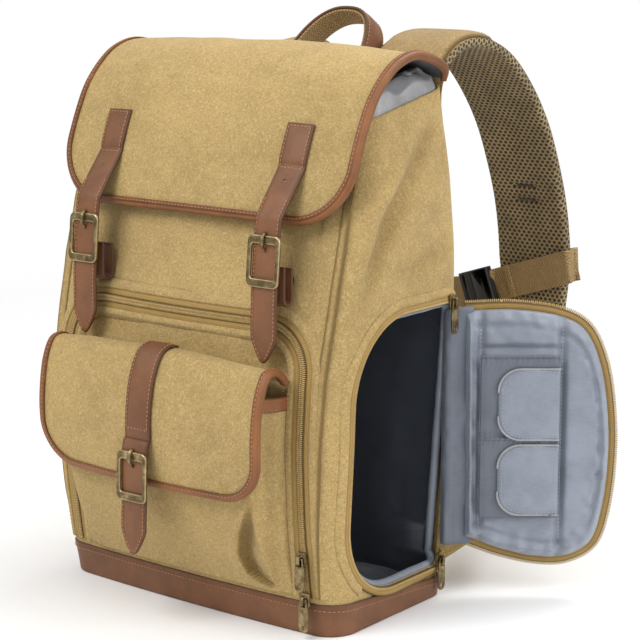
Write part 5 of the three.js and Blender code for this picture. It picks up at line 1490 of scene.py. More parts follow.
# World points of the door's own frame: x out from the hinge, y through its thickness with the
# lining towards -y, z up
def doorPoint(x, y, z):
    swing = math.radians(doorPlan["swing"])
    side = float(sectionAt((doorPlan["bottom"] + doorPlan["top"]) / 2)[0])
    out = np.asarray(x, float) + doorPlan["hingeGap"]
    c, s = math.cos(swing), math.sin(swing)
    return vec(side + out * c - y * s, doorPlan["hingeY"] + 6 + out * s + y * c, z)


# shares of the door's width and height, from the hinge's foot round the free edge to its head
doorEdge = np.array([
    (0.02, 0.085), (0.25, 0.035), (0.5, 0.003), (0.7, 0.01), (0.87, 0.075), (0.945, 0.22), (0.975, 0.42),
    (0.96, 0.61), (0.905, 0.78), (0.8, 0.905), (0.62, 0.965), (0.32, 0.99), (0.02, 0.985),
])


# The door's free edge in its own frame, moved inwards by an inset
def doorLine(count, inset=0.0):
    d = doorPlan
    x, z = doorEdge[:, 0] * d["width"], d["bottom"] + doorEdge[:, 1] * (d["top"] - d["bottom"])
    line = curveThrough(np.stack([x, z], -1), count)
    along = unit(np.gradient(line, axis=0))
    return line + np.stack([-along[:, 1], along[:, 0]], -1) * inset


# A filled outline: rings drawn in towards a middle, y from a function of the ring's share and place
def doorDisc(inset, rings, depth, count=150, hinge=26):
    line = doorLine(count, inset)
    back = line[-1] + (line[0] - line[-1]) * np.linspace(0, 1, hinge)[1:, None]
    outline = np.vstack([line, back])
    middle = np.array([doorPlan["width"] * 0.46, (doorPlan["bottom"] + doorPlan["top"]) / 2])
    rings = np.asarray(rings, float)[:, None, None]
    flat = middle + (outline - middle)[None] * rings
    return flat, doorPoint(flat[..., 0], depth(rings[..., 0], flat), flat[..., 1])


# Shares of the door plan's width and height for the lining's seams and the pockets on it; the
# lining's puff and the card pockets' corners in millimetres
liningSeams = {"left": 0.12, "right": 0.61, "across": 0.825, "puff": 8.4}
pocketShares = {
    "foot": 0.19, "head": 0.8, "middle": 0.492, "cardWidth": 0.38, "cardHeight": 0.265,
    "upper": 0.49, "lower": 0.205, "corner": 18,
}


# The door's canvas, and its padded lining with pockets, zip and hinge
def sideDoor():
    d = doorPlan
    width, low, high = d["width"], d["bottom"], d["top"]
    size = high - low
    # the canvas outside: domed by 3 * (1 - r^2) over a slab, with a little relief
    rings = np.concatenate([np.linspace(0, 0.96, 26), np.array([0.98, 0.992, 1.0])])

    def dome(r, flat):
        soft = 0.7 * relief(vec(flat[..., 0], flat[..., 1], 0), 40, 51) * (1 - r**4)
        return canvasThickness - 0.6 * smooth(0.985, 1.0, r) + 3.0 * (1 - r**2) + soft

    flat, outer = doorDisc(d["rim"] - 2.5, rings, dome)
    inner = doorDisc(d["rim"] - 2.5, rings[::-1], lambda r, flat: 0.2 + 0 * flat[..., 0])[1]
    addGrid("door_canvas", np.concatenate([outer, inner]), canvas, "canvas", nodes=("door_panel",),
            uv=np.concatenate([flat, flat[::-1]]))
    # the padded lining, quilted by the two upright seams and puckered round its edge
    left, right = liningSeams["left"] * width, liningSeams["right"] * width

    def puff(r, flat):
        x, z = flat[..., 0], flat[..., 1]
        pucker = 1 + 0.24 * relief(vec(x, z, 0), 7, 52) * smooth(0.6, 0.95, r)
        edge = np.sqrt(np.clip(1 - np.clip((r - 0.9) / 0.1, 0, 1) ** 2, 0, 1))
        roll = 1.6 * bell(r - 0.93, 0.03)
        tuck = 4.6 * bell(x - left, 3.4) + 4.8 * bell(x - right - 2, 3.6) + 1.6 * bell(r - 0.87, 0.025)
        within = smooth(left - 2, left + 4, x) * smooth(right + 4, right - 2, x)
        tuck += within * 4.0 * bell(z - (low + liningSeams["across"] * size), 3.2)
        wave = 1.5 * relief(vec(x * 0.6, z, 0), 15, 53) + 0.7 * relief(vec(x * 0.5, z, 0), 6, 54)
        return -gap - np.maximum(liningSeams["puff"] * pucker * edge + (roll + wave - tuck) * edge, 0.05)

    rings = np.concatenate([np.linspace(0, 0.88, 84), np.linspace(0.885, 1.0, 22)])
    flat, front = doorDisc(d["rim"] - 4.5, rings, puff, 300, 60)
    level = lambda r, flat: -gap + 0 * flat[..., 0]
    backFlat, back = doorDisc(d["rim"] - 4.5, np.linspace(1, 0, 8), level, 300, 60)
    grid = np.concatenate([front, back])
    addGrid("door_padding", grid[:, ::-1], satin, "lining", nodes=("door_lining",),
                      uv=np.concatenate([flat, backFlat])[:, ::-1])
    for x in (left, right + 2):
        z = np.linspace(low + 0.1 * size, high - 0.1 * size, 90)
        depth = -gap - liningSeams["puff"] + 2.2
        line = doorPoint(x, depth - 0.35, z)
        sew(line, doorPoint(x, depth - 3.0, z) - line, "lining", 3.2)
    doorPockets(left, right, low, size)
    doorZip()
    hingeStrip()


# The pocket panel and its two card pockets: thin sheets, gathered at their elastic edges
def doorPockets(left, right, low, size):
    face = -gap - 8.6
    p = pocketShares
    bottom, top = low + p["foot"] * size, low + p["head"] * size
    columns, rows = 46, 90
    x = np.linspace(left, right, columns)[None, :]
    z = np.linspace(bottom, top, rows)[:, None]
    gathers = 0
    middle = low + p["middle"] * size
    for seamAt in (top, middle):
        near = bell(z - seamAt, 8) * (z < seamAt + 6)
        ripple = np.sin(x * 1.5 + 2 * np.sin(z * 0.4)) * 0.5 + 0.5 * relief(vec(x, z * 0.4, 0), 4, 58)
        gathers = gathers + near * ripple
    y = face - 1.0 - 1.2 * smooth(middle - 26, middle, z) * smooth(middle + 1.5, middle, z)
    y = y - 1.4 * smooth(top - 26, top, z) + gathers + 1.2 * bell(z - middle - 4, 3)
    y = y - 1.0 * smooth(0, 6, x - left) * smooth(0, 6, right - x) + 0.35 * relief(vec(x, z, 0), 12, 55)
    sheet = doorPoint(x, y, z)
    # the pocket panel and its hems use the darker copy of the lining: painted shade
    piece = addGrid("door_pocket_panel_cloth", sheet, shadeLining, "lining", nodes=("door_pocket_panel",),
                    uv=vec(x, z))
    declareCloth(piece, sheet, "laid", "door_padding")
    thicken(piece, pocketCloth, 1)
    middleRow = y[np.argmin(np.abs(z[:, 0] - middle))]
    for word, row, at in (("upper", y[-1], top), ("lower", middleRow, middle)):
        hem = doorPoint(x[0], row - 0.5, at)
        addTube(f"door_pocket_hem_{word}", hem, 1.4, shadeLining, "lining", sides=8, flatten=0.7)
    for word in ("upper", "lower"):
        cardLow = low + p[word] * size
        width, height, r = p["cardWidth"] * doorPlan["width"], p["cardHeight"] * size, p["corner"]
        turn = np.radians(np.linspace(0, 90, 12))
        cx, cz = right - width + r, cardLow + height - r
        head = np.stack([cx - r * np.sin(turn), cz + r * np.cos(turn)], -1)
        foot = np.stack([cx - r * np.cos(turn), cardLow + r - r * np.sin(turn)], -1)
        outline = resample(np.vstack([[right, cardLow + height], head, foot, [right, cardLow]]), 90)
        middle = np.array([right, cardLow + height / 2])
        # rows follow the outline, drawn in to the pocket's right edge, and swell between them
        inwards = np.linspace(0, 1, 18)[:, None]
        flat = vec(right - (right - outline[None, :, 0]) * inwards, outline[None, :, 1])
        lift = face - 4.7 - 1.1 * np.sin(pi * inwards) * smooth(0, 0.15, inwards)
        lift = lift - 0.25 * relief(vec(flat[..., 0], flat[..., 1], 0), 15, 56)
        card = doorPoint(flat[..., 0], lift, flat[..., 1])
        piece = addGrid(f"door_card_pocket_{word}", card, satin, "lining",
                        nodes=(f"door_pocket_{word}",), uv=flat)
        declareCloth(piece, card, "laid", "door_pocket_panel_cloth")
        thicken(piece, pocketCloth, 1)
        rim = doorPoint(outline[:, 0], face - 5.3, outline[:, 1])
        addTube(f"door_card_piping_{word}", rim, 0.9, silverLining, "lining", sides=8)
        inset = middle + (resample(outline, 90) - middle) * 0.93
        line = doorPoint(inset[:, 0], face - 6.0, inset[:, 1])
        sew(line, doorPoint(inset[:, 0], face - 9.5, inset[:, 1]) - line, "lining", 3.0)


# The half zip round the door's free edge: its tape and one row of teeth
def doorZip():
    count = 420
    flat = np.stack([doorLine(count, a) for a in doorTape[:, 0]], 1)
    grid, runs = capped(doorPoint(flat[..., 0], doorTape[None, :, 1], flat[..., 1]), lengths(flat[:, 0]))
    uv = vec(runs[:, None], doorTape[None, :, 0])
    # painted shade on the tape beside the coil
    dark = smooth(1.6, 0.3, doorTape[:, 0])[None, ::-1]
    addGrid("door_zip_tape", grid[:, ::-1], tape, "zip_tape", nodes=("door_zip",), uv=uv[:, ::-1], edge=dark)

    def at(inset, depth):
        edge = doorLine(count, inset)
        return doorPoint(edge[:, 0], depth, edge[:, 1])

    line = at(0.2, 0.9)
    toothRow("door_zip_coil", line, unit(line - at(3.0, 0.9)), unit(at(0.2, -1.0) - line), 1)


# The hinge: a strip of lining from inside the opening, bent out to behind the door's padding
def hingeStrip():
    low, high = boxOf("door_hinge")
    z = np.linspace(low[2] - 4, high[2] + 7, 60)[:, None]
    side = float(sectionAt(137.5)[0])
    start = np.array([side + gap, doorPlan["hingeY"] - 4])
    root = doorPoint(0.075 * doorPlan["width"], -2.4, 0)[:2]
    inside = np.array([side - 4.0, doorPlan["hingeY"] - 3.0])
    bend = np.array([side + 5.0, doorPlan["hingeY"] + 1.6])
    route = curveThrough([inside, start, (start + bend) / 2 + np.array([0.8, 0]), bend, root], 26)
    fold = 0.7 * relief(vec(route[None, :, 0] * 3, z, 0), 9, 57)
    grid = vec(route[None, :, 0] + fold, route[None, :, 1] - fold, z)
    # the hinge cloth uses the darker copy of the lining: painted shade beside the hinge
    piece = addGrid("hinge_cloth", grid[:, ::-1], shadeLining, "lining", nodes=("door_hinge",),
                    uv=vec(lengths(route)[None, ::-1], z))
    declareCloth(piece, grid, "folded", "door_padding")
    thicken(piece, 1.4, 0)


sideDoor()
print("side door ready")

# Inside and top

liningPlan = {"padding": 6, "front": 70, "ceiling": 262, "dent": 2.0}


# The padded lining of the camera compartment: rings inside the body, held behind the front
# compartment's wall, then drawn in to the middle of the floor and of the ceiling
def cameraLining():
    p = liningPlan
    offset = -(canvasThickness + gap) - p["padding"]
    low = bodyPlan["bottom"] - offset
    high = p["ceiling"] - p["padding"]
    wallZ = np.linspace(low, high, 84)
    rings = bodyRings(wallZ, offset, (26, 6, 46, 8, 30))
    front = -p["front"] - offset
    rings[..., 1] = np.maximum(rings[..., 1], front)
    inward = np.linspace(0.02, 0.985, 20)
    floor = rings[0][None] * np.array([1, 1, 0]) * inward[:, None, None] + np.array([0, 0, low])
    ceiling = rings[-1][None] * np.array([1, 1, 0]) * inward[::-1, None, None] + np.array([0, 0, high])
    grid = np.concatenate([floor, rings, ceiling])
    normals = gridNormals(grid)
    distance, nx, nz = openingDistance(doorPlan["hingeY"] - grid[..., 1], grid[..., 2])
    distance = np.where(grid[..., 0] > 100, distance, 99.0)
    near = smooth(4, 16, distance)
    soft = relief(grid * np.array([1, 1, 0.45]), 34, 61) * 0.8 + relief(grid, 14, 62) * 0.3
    pillow = 1.4 * np.abs(np.sin(grid[..., 2] * pi / 62)) ** 0.5 - 0.6
    upright = np.abs(normals[..., 2])
    off = (p["dent"] * soft - pillow * (upright < 0.5)) * near
    toCorner = np.minimum(np.abs(grid[..., 2] - low), np.abs(grid[..., 2] - high))
    off *= smooth(0.0, 0.1, toCorner / 80 + (upright > 0.5))
    grid = grid + normals * off[..., None]
    rows, columns = grid.shape[:2]
    faces = gridFaces(rows, columns)
    inside = distance.ravel()[faces].mean(1) <= 0
    rim = np.intersect1d(faces[~inside], faces[inside])
    flat = grid.reshape(-1, 3)
    ahead = doorPlan["hingeY"] - flat[rim, 1] - nx.ravel()[rim] * distance.ravel()[rim]
    z = flat[rim, 2] - nz.ravel()[rim] * distance.ravel()[rim]
    y = doorPlan["hingeY"] - ahead
    flat[rim] = vec(sideReach(y, z, offset), np.maximum(y, front), z)
    run = lengths(rings[40])
    uv = vec(run[None, :], lengths(grid[:, 60])[:, None]).reshape(-1, 2)
    # the padding is in the darkened copy of the grey blue lining: painted shade inside the compartment
    piece = addMesh("camera_padding", flat, faces[~inside], shadedInnerLining, "lining",
                    nodes=("camera_lining",), uv=uv)
    thicken(piece, p["padding"], 1)
    # a soft roll finishes the padding's cut edge all round the opening
    t = np.linspace(0, 1, 260)
    ahead, z = openingLine(t, -0.6)
    y = doorPlan["hingeY"] - ahead
    line = vec(sideReach(y, z, offset) + 3.4, y, z)
    close = np.linspace(0, 1, 70)[1:, None]
    line = np.vstack([line, line[-1] + (line[0] - line[-1]) * close])
    size = 3.3 + 0.35 * relief(line, 13, 63)
    addTube("opening_roll", line, size, satin, "lining", sides=12, closed=True, up=(1, 0, 0))


cameraLining()

# rows of the gathered collar: inset from the wall, rise above the mouth, depth of the gathers
collarRows = np.array([(0.2, -20, 0), (0.4, -2, 0.8), (5, 9, 2.6), (17, 15, 3.6), (31, 10, 3.6)])
collarPlan = {"folds": 18, "hem": 2.1}


# The collar: rings inside the mouth that rise over it, folded by cosines and soft relief, and
# kept below the flap
def drawstringCollar():
    share = np.linspace(0, 4, 46)
    inset, rise, gather = (np.interp(share, np.arange(5), collarRows[:, k]) for k in range(3))
    rings = np.stack([bodyRings([bodyPlan["height"]], -(canvasThickness + gap) - i, (40, 8, 44, 10, 56))[0]
                      for i in inset])
    run = lengths(rings[0]) / lengths(rings[0])[-1]
    phase = 2 * pi * (collarPlan["folds"] * run + 0.9 * relief(vec(run * 9, 0, 0), 1.0, 71))
    x, y = rings[..., 0], rings[..., 1]
    crease = relief(vec(run[None, :] * 260 + 0 * share[:, None], share[:, None] * 6, 0), 6.5, 72)
    fold = gather[:, None] * (np.cos(phase)[None, :] + 1.1 * crease)
    z = mouthHeight(y) + rise[:, None] + fold
    profile = np.array(flapProfile)[::-1]
    ceiling = np.interp(y, profile[:, 0], profile[:, 1]) - 4.6 - 6 * (x / flapPlan["half"]) ** 2
    z = np.minimum(z, np.maximum(ceiling, mouthHeight(y) - 20))
    grid = vec(x + 0.35 * fold * np.sign(x) * (share[:, None] > 1), y, z)
    around = run * lengths(rings[0])[-1]
    piece = addGrid("collar_cloth", grid, silverLining, "silver_lining", nodes=("drawstring_collar",),
                    uv=vec(around[None, :], share[:, None] * 14))
    thicken(piece, 0.9, -1)
    hem = addTube("collar_hem", grid[-1], collarPlan["hem"] + 0.3 * relief(grid[-1], 6, 73), silverLining,
                  "silver_lining", sides=10, closed=True)
    cut = around[-1] * toMetres, lengths(collarRows[:, :2])[-1] * toMetres


drawstringCollar()
print("lining and collar ready")

# Carrying parts

handlePlan = {
    "span": 76, "rise": 60, "width": 26, "lean": 30, "foot": 416, "standoff": 15.5, "shift": 5, "skew": 12,
}


# The handle: a half loop, x a flattened cosine and rise a sine, that leans back
def handle():
    p = handlePlan
    lean = math.radians(p["lean"])
    rise = np.array([0, math.sin(lean), math.cos(lean)])
    across = np.array([0, math.cos(lean), -math.sin(lean)])
    angle = pi * (1 - np.linspace(0, 1, 90))
    c, s = np.cos(angle), np.sin(angle)
    start = np.array([p["shift"], float(sectionAt(p["foot"])[1]) + p["standoff"], p["foot"]])
    sideways = p["span"] / 2 * np.sign(c) * np.abs(c) ** 0.8 + p["skew"] * s
    line = start + vec(sideways, 0, 0) + rise * (p["rise"] * s**0.9)[:, None]
    line = resample(curveThrough(line[::4].tolist() + [line[-1].tolist()], 200), 160)
    along = unit(np.gradient(line, axis=0))
    out = unit(np.cross(np.broadcast_to(across, line.shape), along))
    sides = np.broadcast_to(across, line.shape)
    half = p["width"] / 2
    outside, length = strapPlace(line, sides, -out, np.full(len(line), half))
    stations = np.linspace(0, length, 130)

    def dome(s, a):
        seam = 0.4 * bell((1 - np.abs(a)) * half - 2.3, 0.8)
        return 0.7 * (1 - a**2) - seam + 0.3 * relief(vec(a * 20, s, 0), 14, 81)

    addSlab("handle_leather_band", outside, stations, gap, gap + leatherThickness, half, leather, "leather",
            columns=20, rounding=0.9, lift=dome, nodes=("handle_leather",))
    inner = strapPlace(line, sides, out, np.full(len(line), half - 1))[0]
    addSlab("handle_webbing_band", inner, stations, 0.0, 2.0, half - 1, webbing, "webbing",
            columns=12, rounding=0.8, nodes=("handle_webbing",))
    for sign in (-1, 1):
        sewOn(outside, np.linspace(5, length - 5, 200), sign * (1 - 2.3 / half),
              gap + leatherThickness + 0.3, 9.0, pitch=3.4)


handle()

shoulderPlan = {
    "centre": 86, "width": 70, "endWidth": 46, "thickness": 12, "mesh": 2,
    "drop": 17, "roll": 15, "peak": 0.16, "reach": 0.3, "start": 0.3,
    "tackAt": 0.62, "tackApart": 7, "tackHalf": 0.22, "meshOutside": 1.045, "meshInside": 1.012,
    "rootFrom": 46, "rootTo": 0.245,
}
shoulderRoute = [
    (89, 382), (91, 412), (102, 433), (126, 445), (157, 445), (192, 431), (224, 404), (251, 370),
    (270, 333), (284, 296), (292, 256), (294, 216), (290, 180), (280, 150), (267, 126),
]


# The line of a shoulder strap with its across and out directions and half widths. The one with a
# negative x has slumped: a bell lowers its arch and rolls it outwards
def shoulderLine(x, count=150):
    p = shoulderPlan
    route = curveThrough(shoulderRoute, count)
    t = np.linspace(0, 1, count)
    share = bell(t - p["peak"], p["reach"]) * np.minimum(t / p["peak"], 1) * (x < 0)
    roll = np.radians(p["roll"]) * share
    line = vec(x, route[:, 0], route[:, 1] - p["drop"] * share)
    across = vec(np.cos(roll), 0, np.sin(roll))
    along = unit(np.gradient(line, axis=0))
    out = unit(np.cross(across, along))
    half = (p["width"] + (p["endWidth"] - p["width"]) * np.clip((t - 0.75) / 0.25, 0, 1)) / 2
    return line, across, out, half


browner = canvasFinish("brown tan canvas", (0.34, 0.23, 0.1), 1.5)


# A shoulder strap: its pad, spacer mesh, tacks and sewn root
def shoulderStrap(side, sign):
    p = shoulderPlan
    line, across, out, halves = shoulderLine(sign * p["centre"])
    place, length = strapPlace(line, across, out, halves)
    top = p["thickness"] - p["mesh"] - gap
    half = p["width"] / 2
    # the pad's section: a flat underside and a top that is full in the middle, (1 - a^6)^0.4
    t = np.linspace(-1, 1, 41)
    a = np.sin(t * pi / 2)
    high = 0.4 + (top - 0.4) * (1 - np.abs(a) ** 6) ** 0.4
    profileA = np.concatenate([a, a[::-1][1:]])
    profileH = np.concatenate([high, 0.4 * (1 - np.abs(a[::-1][1:]) ** 8)])
    profileH[0] = profileH[-1]
    s = np.concatenate([[p["start"]], np.linspace(p["start"] + 2, length - 2.0, 160), [length - 0.3]])
    full = np.ones(len(s))
    full[[0, -1]] = 0.35
    shape = profileH[None, :] * full[:, None] + (1 - full[:, None]) * top * 0.3
    soft = 0.9 * relief(vec(profileA[None, :] * half, s[:, None], 0), 26, 91 + sign)
    soft = soft * (profileH[None, :] > top * 0.6)
    flat = lambda s: 0.4 + 0.6 * smooth(6, 80, s)
    heights = (shape + soft * full[:, None]) * flat(s)[:, None]
    grid, runs = capped(place(s[:, None] + 0 * shape, profileA[None, :] + 0 * shape, heights), s)
    around = lengths(np.stack([profileA * half, profileH], -1))
    addGrid(f"shoulder_pad_{side}_canvas", grid, canvas, "canvas", nodes=(f"shoulder_pad_{side}",),
                      uv=vec(runs[:, None], around[None, :]))
    # the spacer mesh: a sheet under the pad that turns up round both of its edges
    thick = p["mesh"]
    e, i = p["meshOutside"], p["meshInside"]
    outer = [(-e, 5.2), (-e, 2.6), (-e, 0.4), (-e + 0.03, -1.2)]
    outer += [(x, -gap - thick - 0.5 * (1 - x * x)) for x in np.linspace(-0.96, 0.96, 33)]
    outer += [(e - 0.03, -1.2), (e, 0.4), (e, 2.6), (e, 5.2)]
    inner = [(i, 5.2), (i, 0.2), (0.96, -gap), (-0.96, -gap), (-i, 0.2), (-i, 5.2), (-e, 5.2)]
    profile = np.array(outer + inner)
    s = np.linspace(0.8, length - 0.8, 180)
    dimple = np.zeros((len(s), len(profile)))
    tack = length * p["tackAt"]
    under = (np.arange(len(profile)) > 3) & (np.arange(len(profile)) < 37)
    for at in (-p["tackApart"], p["tackApart"]):
        across = smooth(0.5, 0.3, np.abs(profile[None, :, 0]))
        dimple += 3.4 * bell(s[:, None] - tack - at, 2.6) * across * under
    wave = 0.7 * relief(vec(profile[None, :, 0] * half, s[:, None], 0), 30, 95) * under
    heights = profile[None, :, 1] + dimple + wave
    grid, runs = capped(place(s[:, None] + 0 * heights, profile[None, :, 0] + 0 * heights, heights), s)
    around = lengths(np.stack([profile[:, 0] * half, profile[:, 1]], -1))
    addGrid(f"shoulder_mesh_{side}_cloth", grid, spacerMesh, "spacer_mesh", nodes=(f"shoulder_mesh_{side}",),
            uv=vec(runs[:, None], around[None, :]))
    # a bar tack at each of two dents in the mesh, coloured nearly black as painted shade of the dents
    for at in (-p["tackApart"], p["tackApart"]):
        a = np.linspace(-p["tackHalf"], p["tackHalf"], 16)
        dent = place(np.full(16, tack + at), a, -gap - thick + 0.9 + 1.6 * (1 - (a / p["tackHalf"]) ** 2))
        word = "lower" if at > 0 else "upper"
        addTube(f"shoulder_tack_{side}_{word}", dent, 1.5, darkLining, "spacer_mesh", sides=8, flatten=0.7)
    # a browner cover over the strap's root, sewn down across its end
    crown = lambda a: 0.4 + (top - 0.4) * (1 - np.abs(a) ** 6) ** 0.4
    over = lambda s, a, h: place(s, a * 0.97, h + crown(a * 0.97) * flat(s))
    end = length * p["rootTo"]
    addSlab(f"shoulder_root_{side}", over, np.linspace(p["rootFrom"], end, 60), 0.4, 1.7, half, browner, "canvas",
            columns=26, rounding=0.6)
    a = np.linspace(-0.85, 0.85, 40)
    for at in (end - 2.4, end - 6.0):
        sewOn(over, at, a, 1.85, 6.0, "canvas", 3.6)
    lowerWebbing(side, sign, out)


# the adjuster's frame and bars, the half width of the webbing, its sag, and the wing: its middle's
# height, its reach behind the back and its ends about the back's corner
webbingPlan = {
    "adjusterHeight": 22.0, "adjusterDepth": 6.0, "bar": 3.4, "barRadius": 1.7, "half": 14.0, "sag": 8,
    "wingAt": 44, "wingReach": 25, "wingRoot": 10, "wingTip": 4,
}


# The adjuster at the strap's end, the webbing below it and the wing that holds the webbing
def lowerWebbing(side, sign, out):
    p = webbingPlan
    low, high = boxOf(f"strap_adjuster_{side}")
    outAt = unit(out[-1])
    middle = (low + high) / 2
    xAxis = np.array([1.0, 0, 0])
    up = unit(np.cross(xAxis, outAt))
    width, height, depth = high[0] - low[0], p["adjusterHeight"], p["adjusterDepth"]
    # a ladder: an outer frame and two bars, each a rounded loop or tube
    spread = np.multiply.outer
    toWorld = lambda u, w, h: middle + spread(u, xAxis) + spread(w, up) + spread(h, outAt)
    outer, inner = roundedOutline(width, height, 3.0), roundedOutline(width - 7, height - 6, 1.2)
    t = np.linspace(0, pi, 9)
    across = np.concatenate([(1 - np.cos(t)) / 2, (1 + np.cos(t[1:])) / 2])
    heights = np.concatenate([0.35 + 0.65 * np.sin(t) ** 0.5, -0.35 - 0.65 * np.sin(t[1:]) ** 0.5])
    heights = heights * depth / 2
    heights[-1] = heights[0]
    outline = outer[:, None] * (1 - across)[None, :, None] + inner[:, None] * across[None, :, None]
    grid = toWorld(outline[..., 0], outline[..., 1], np.broadcast_to(heights, outline.shape[:2]))
    addGrid(f"strap_adjuster_{side}_frame", grid[:, ::-1], plastic, "black_plastic",
            nodes=(f"strap_adjuster_{side}",))
    for word, w in (("upper", p["bar"]), ("lower", -p["bar"])):
        u = np.linspace(-width / 2 + 3, width / 2 - 3, 24)
        addTube(f"strap_adjuster_{side}_{word}_bar", toWorld(u, 0 * u + w, 0 * u - 0.4),
                p["barRadius"], plastic, "black_plastic", up=outAt)
    start = middle - up * (4.0 if up[2] > 0 else -4.0)
    half, back = (float(v) for v in sectionAt(p["wingAt"])[:2])
    tip = np.array([sign * (half + p["wingTip"]), back + 24 + 1.35, p["wingAt"]])
    t = np.linspace(0, 1, 60)
    route = start + (tip - start) * t[:, None]
    route[:, 2] -= p["sag"] * np.sin(pi * t)
    _, acrossRoute, face = strapFrames(route, (1, 0, 0))
    place, length = strapPlace(route, acrossRoute, face, np.full(60, p["half"]))
    wave = lambda s, a: 0.3 * relief(vec(a * p["half"], s, 0), 22, 97)
    addSlab(f"shoulder_webbing_{side}_band", place, np.linspace(0, length, 90), -0.9, 0.9, p["half"],
            webbing, "webbing", columns=12, rounding=0.7, lift=wave, nodes=(f"shoulder_webbing_{side}",))
    # the wing: two skins of canvas between the base's corner and the webbing's end
    rootX, tipX = sign * (half - p["wingRoot"]), sign * (half + p["wingTip"])
    u, v = np.linspace(0, 1, 22)[:, None], np.linspace(0, 1, 20)[None, :]
    y = back - 1 + p["wingReach"] * u + 0 * v
    bottom, head = 22 + (36 - 22) * u, 70 + (52 - 70) * u
    z = bottom + (head - bottom) * v
    x = rootX + (tipX - rootX) * u + 0 * v
    swell = 1.7 * np.sin(pi * np.clip(v, 0, 1)) ** 0.5 * (0.9 + 0.1 * np.cos(u * 9))
    swell = swell * np.where(u > 0.96, 0.6, 1)
    front, rear = vec(x + swell, y, z), vec(x - swell, y, z)
    grid = np.concatenate([front, rear[:, ::-1][:, 1:]], axis=1)
    grid = np.concatenate([grid, grid[:, :1]], axis=1)
    grid = capped(grid, u[:, 0])[0]
    addGrid(f"anchor_wing_{side}_canvas", grid, canvas, "canvas", nodes=(f"anchor_wing_{side}",),
            uv=grid[..., 1:])
    seam = vec(x[:, 1] + sign * 1.6, y[:, 1], z[:, 1] + 3)
    sew(seam, np.tile([float(sign), 0, 0], (len(seam), 1)), "canvas", 3.6)


for side, sign in (("left", -1), ("right", 1)):
    shoulderStrap(side, sign)

chestPlan = {"buckleX": 36, "height": 234, "slope": 0.33, "rise": 8, "width": 30}


# The chest strap, in a frame set on the shoulder straps at its height: x, y out of their outer
# face, z up along them
def chestStrap():
    p, sp = chestPlan, shoulderPlan
    line = shoulderLine(0.001, 400)[0]
    far = np.argmax((line[:, 1] > 250) & (line[:, 2] < p["height"]))
    along = unit(line[far - 20] - line[far + 20])
    along[0] = 0
    out = np.array([0, along[2], -along[1]])
    origin = np.array([0, line[far, 1], line[far, 2]])
    turned = lambda q: q[..., :1] * np.array([1.0, 0, 0]) + q[..., 1:2] * out + q[..., 2:] * along
    slack = 2 * gap + 2.7
    face, rear = -(sp["mesh"] + gap + slack), sp["thickness"] - sp["mesh"] + 2 * gap + 1
    innerX = sp["centre"] - sp["width"] / 2
    outerX = sp["centre"] + sp["width"] / 2 + gap + 2.4
    buckleFace = face - 7
    height = lambda x: p["rise"] - p["slope"] * (outerX - abs(x))
    for side, sign in (("left", -1), ("right", 1)):
        near = p["buckleX"] + 12 if sign > 0 else -(p["buckleX"] - 12)
        route = [
            (near, buckleFace), ((near + innerX) / 2, (buckleFace + face) / 2), (innerX + 4, face),
            (outerX - 3, face - 0.4), (outerX, face + 0.25 * (rear - face)),
            (outerX, face + 0.75 * (rear - face)), (outerX - 3, rear), (innerX + 8, rear),
        ]
        points = np.array([(sign * x, y, height(x)) for x, y in route])
        fine = curveThrough(points, 170)
        _, acrossFine, faceFine = strapFrames(fine, (0, 0, 1))
        place, length = strapPlace(origin + turned(fine), turned(acrossFine), turned(faceFine),
                                   np.full(170, p["width"] / 2))
        wave = lambda s, a: 0.4 * relief(vec(a * 15, s, 0), 20, 98)
        addSlab(f"chest_webbing_{side}_band", place, np.linspace(0, length, 150), -1.0, 1.0, p["width"] / 2,
                webbing, "webbing", columns=14, rounding=0.8, lift=wave, nodes=(f"chest_webbing_{side}",))
        # a keeper loop stands a little over the webbing, beside the buckle
        keeper = np.linspace(length * 0.12, length * 0.12 + 7, 10)
        addSlab(f"chest_keeper_{side}", place, keeper, -2.6, 2.6, p["width"] / 2, webbing, "webbing",
                columns=10, rounding=1.2)


chestStrap()
print("carrying parts ready")


# Hard parts keep their solids' shape: a merged copy with its sharp edges rounded by a bevel
def roundedCopy(node, finish, bevel, body="bag", segments=3):
    source = bpy.data.objects[node]
    mesh = source.data.copy()
    work = bmesh.new()
    work.from_mesh(mesh)
    bmesh.ops.remove_doubles(work, verts=work.verts, dist=1e-5)
    bmesh.ops.dissolve_limit(work, angle_limit=0.02, verts=work.verts, edges=work.edges)
    work.to_mesh(mesh)
    work.free()
    mesh.materials.clear()
    mesh.materials.append(finish)
    mesh.polygons.foreach_set("use_smooth", np.ones(len(mesh.polygons), bool))
    piece = bpy.data.objects.new(node + "_finished", mesh)
    bpy.context.scene.collection.objects.link(piece)
    edges = piece.modifiers.new("rounded edges", "BEVEL")
    edges.width, edges.segments, edges.limit_method = bevel * toMetres, segments, "ANGLE"
    edges.angle_limit = math.radians(35)
    edges.harden_normals = True
    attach(piece, body)
    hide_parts(node)
    return piece


for end in ("upper", "lower"):
    roundedCopy(f"front_slider_{end}", brass, 0.45)
    roundedCopy(f"front_pull_{end}", brass, 0.4, f"front_pull_{end}")
for end in ("top", "bottom"):
    roundedCopy(f"door_slider_{end}", brass, 0.45)
    roundedCopy(f"door_pull_{end}", brass, 0.4, f"door_pull_{end}")
for part in ("socket", "plug"):
    roundedCopy(f"chest_buckle_{part}", plastic, 1.4)
print("metal and plastic ready")

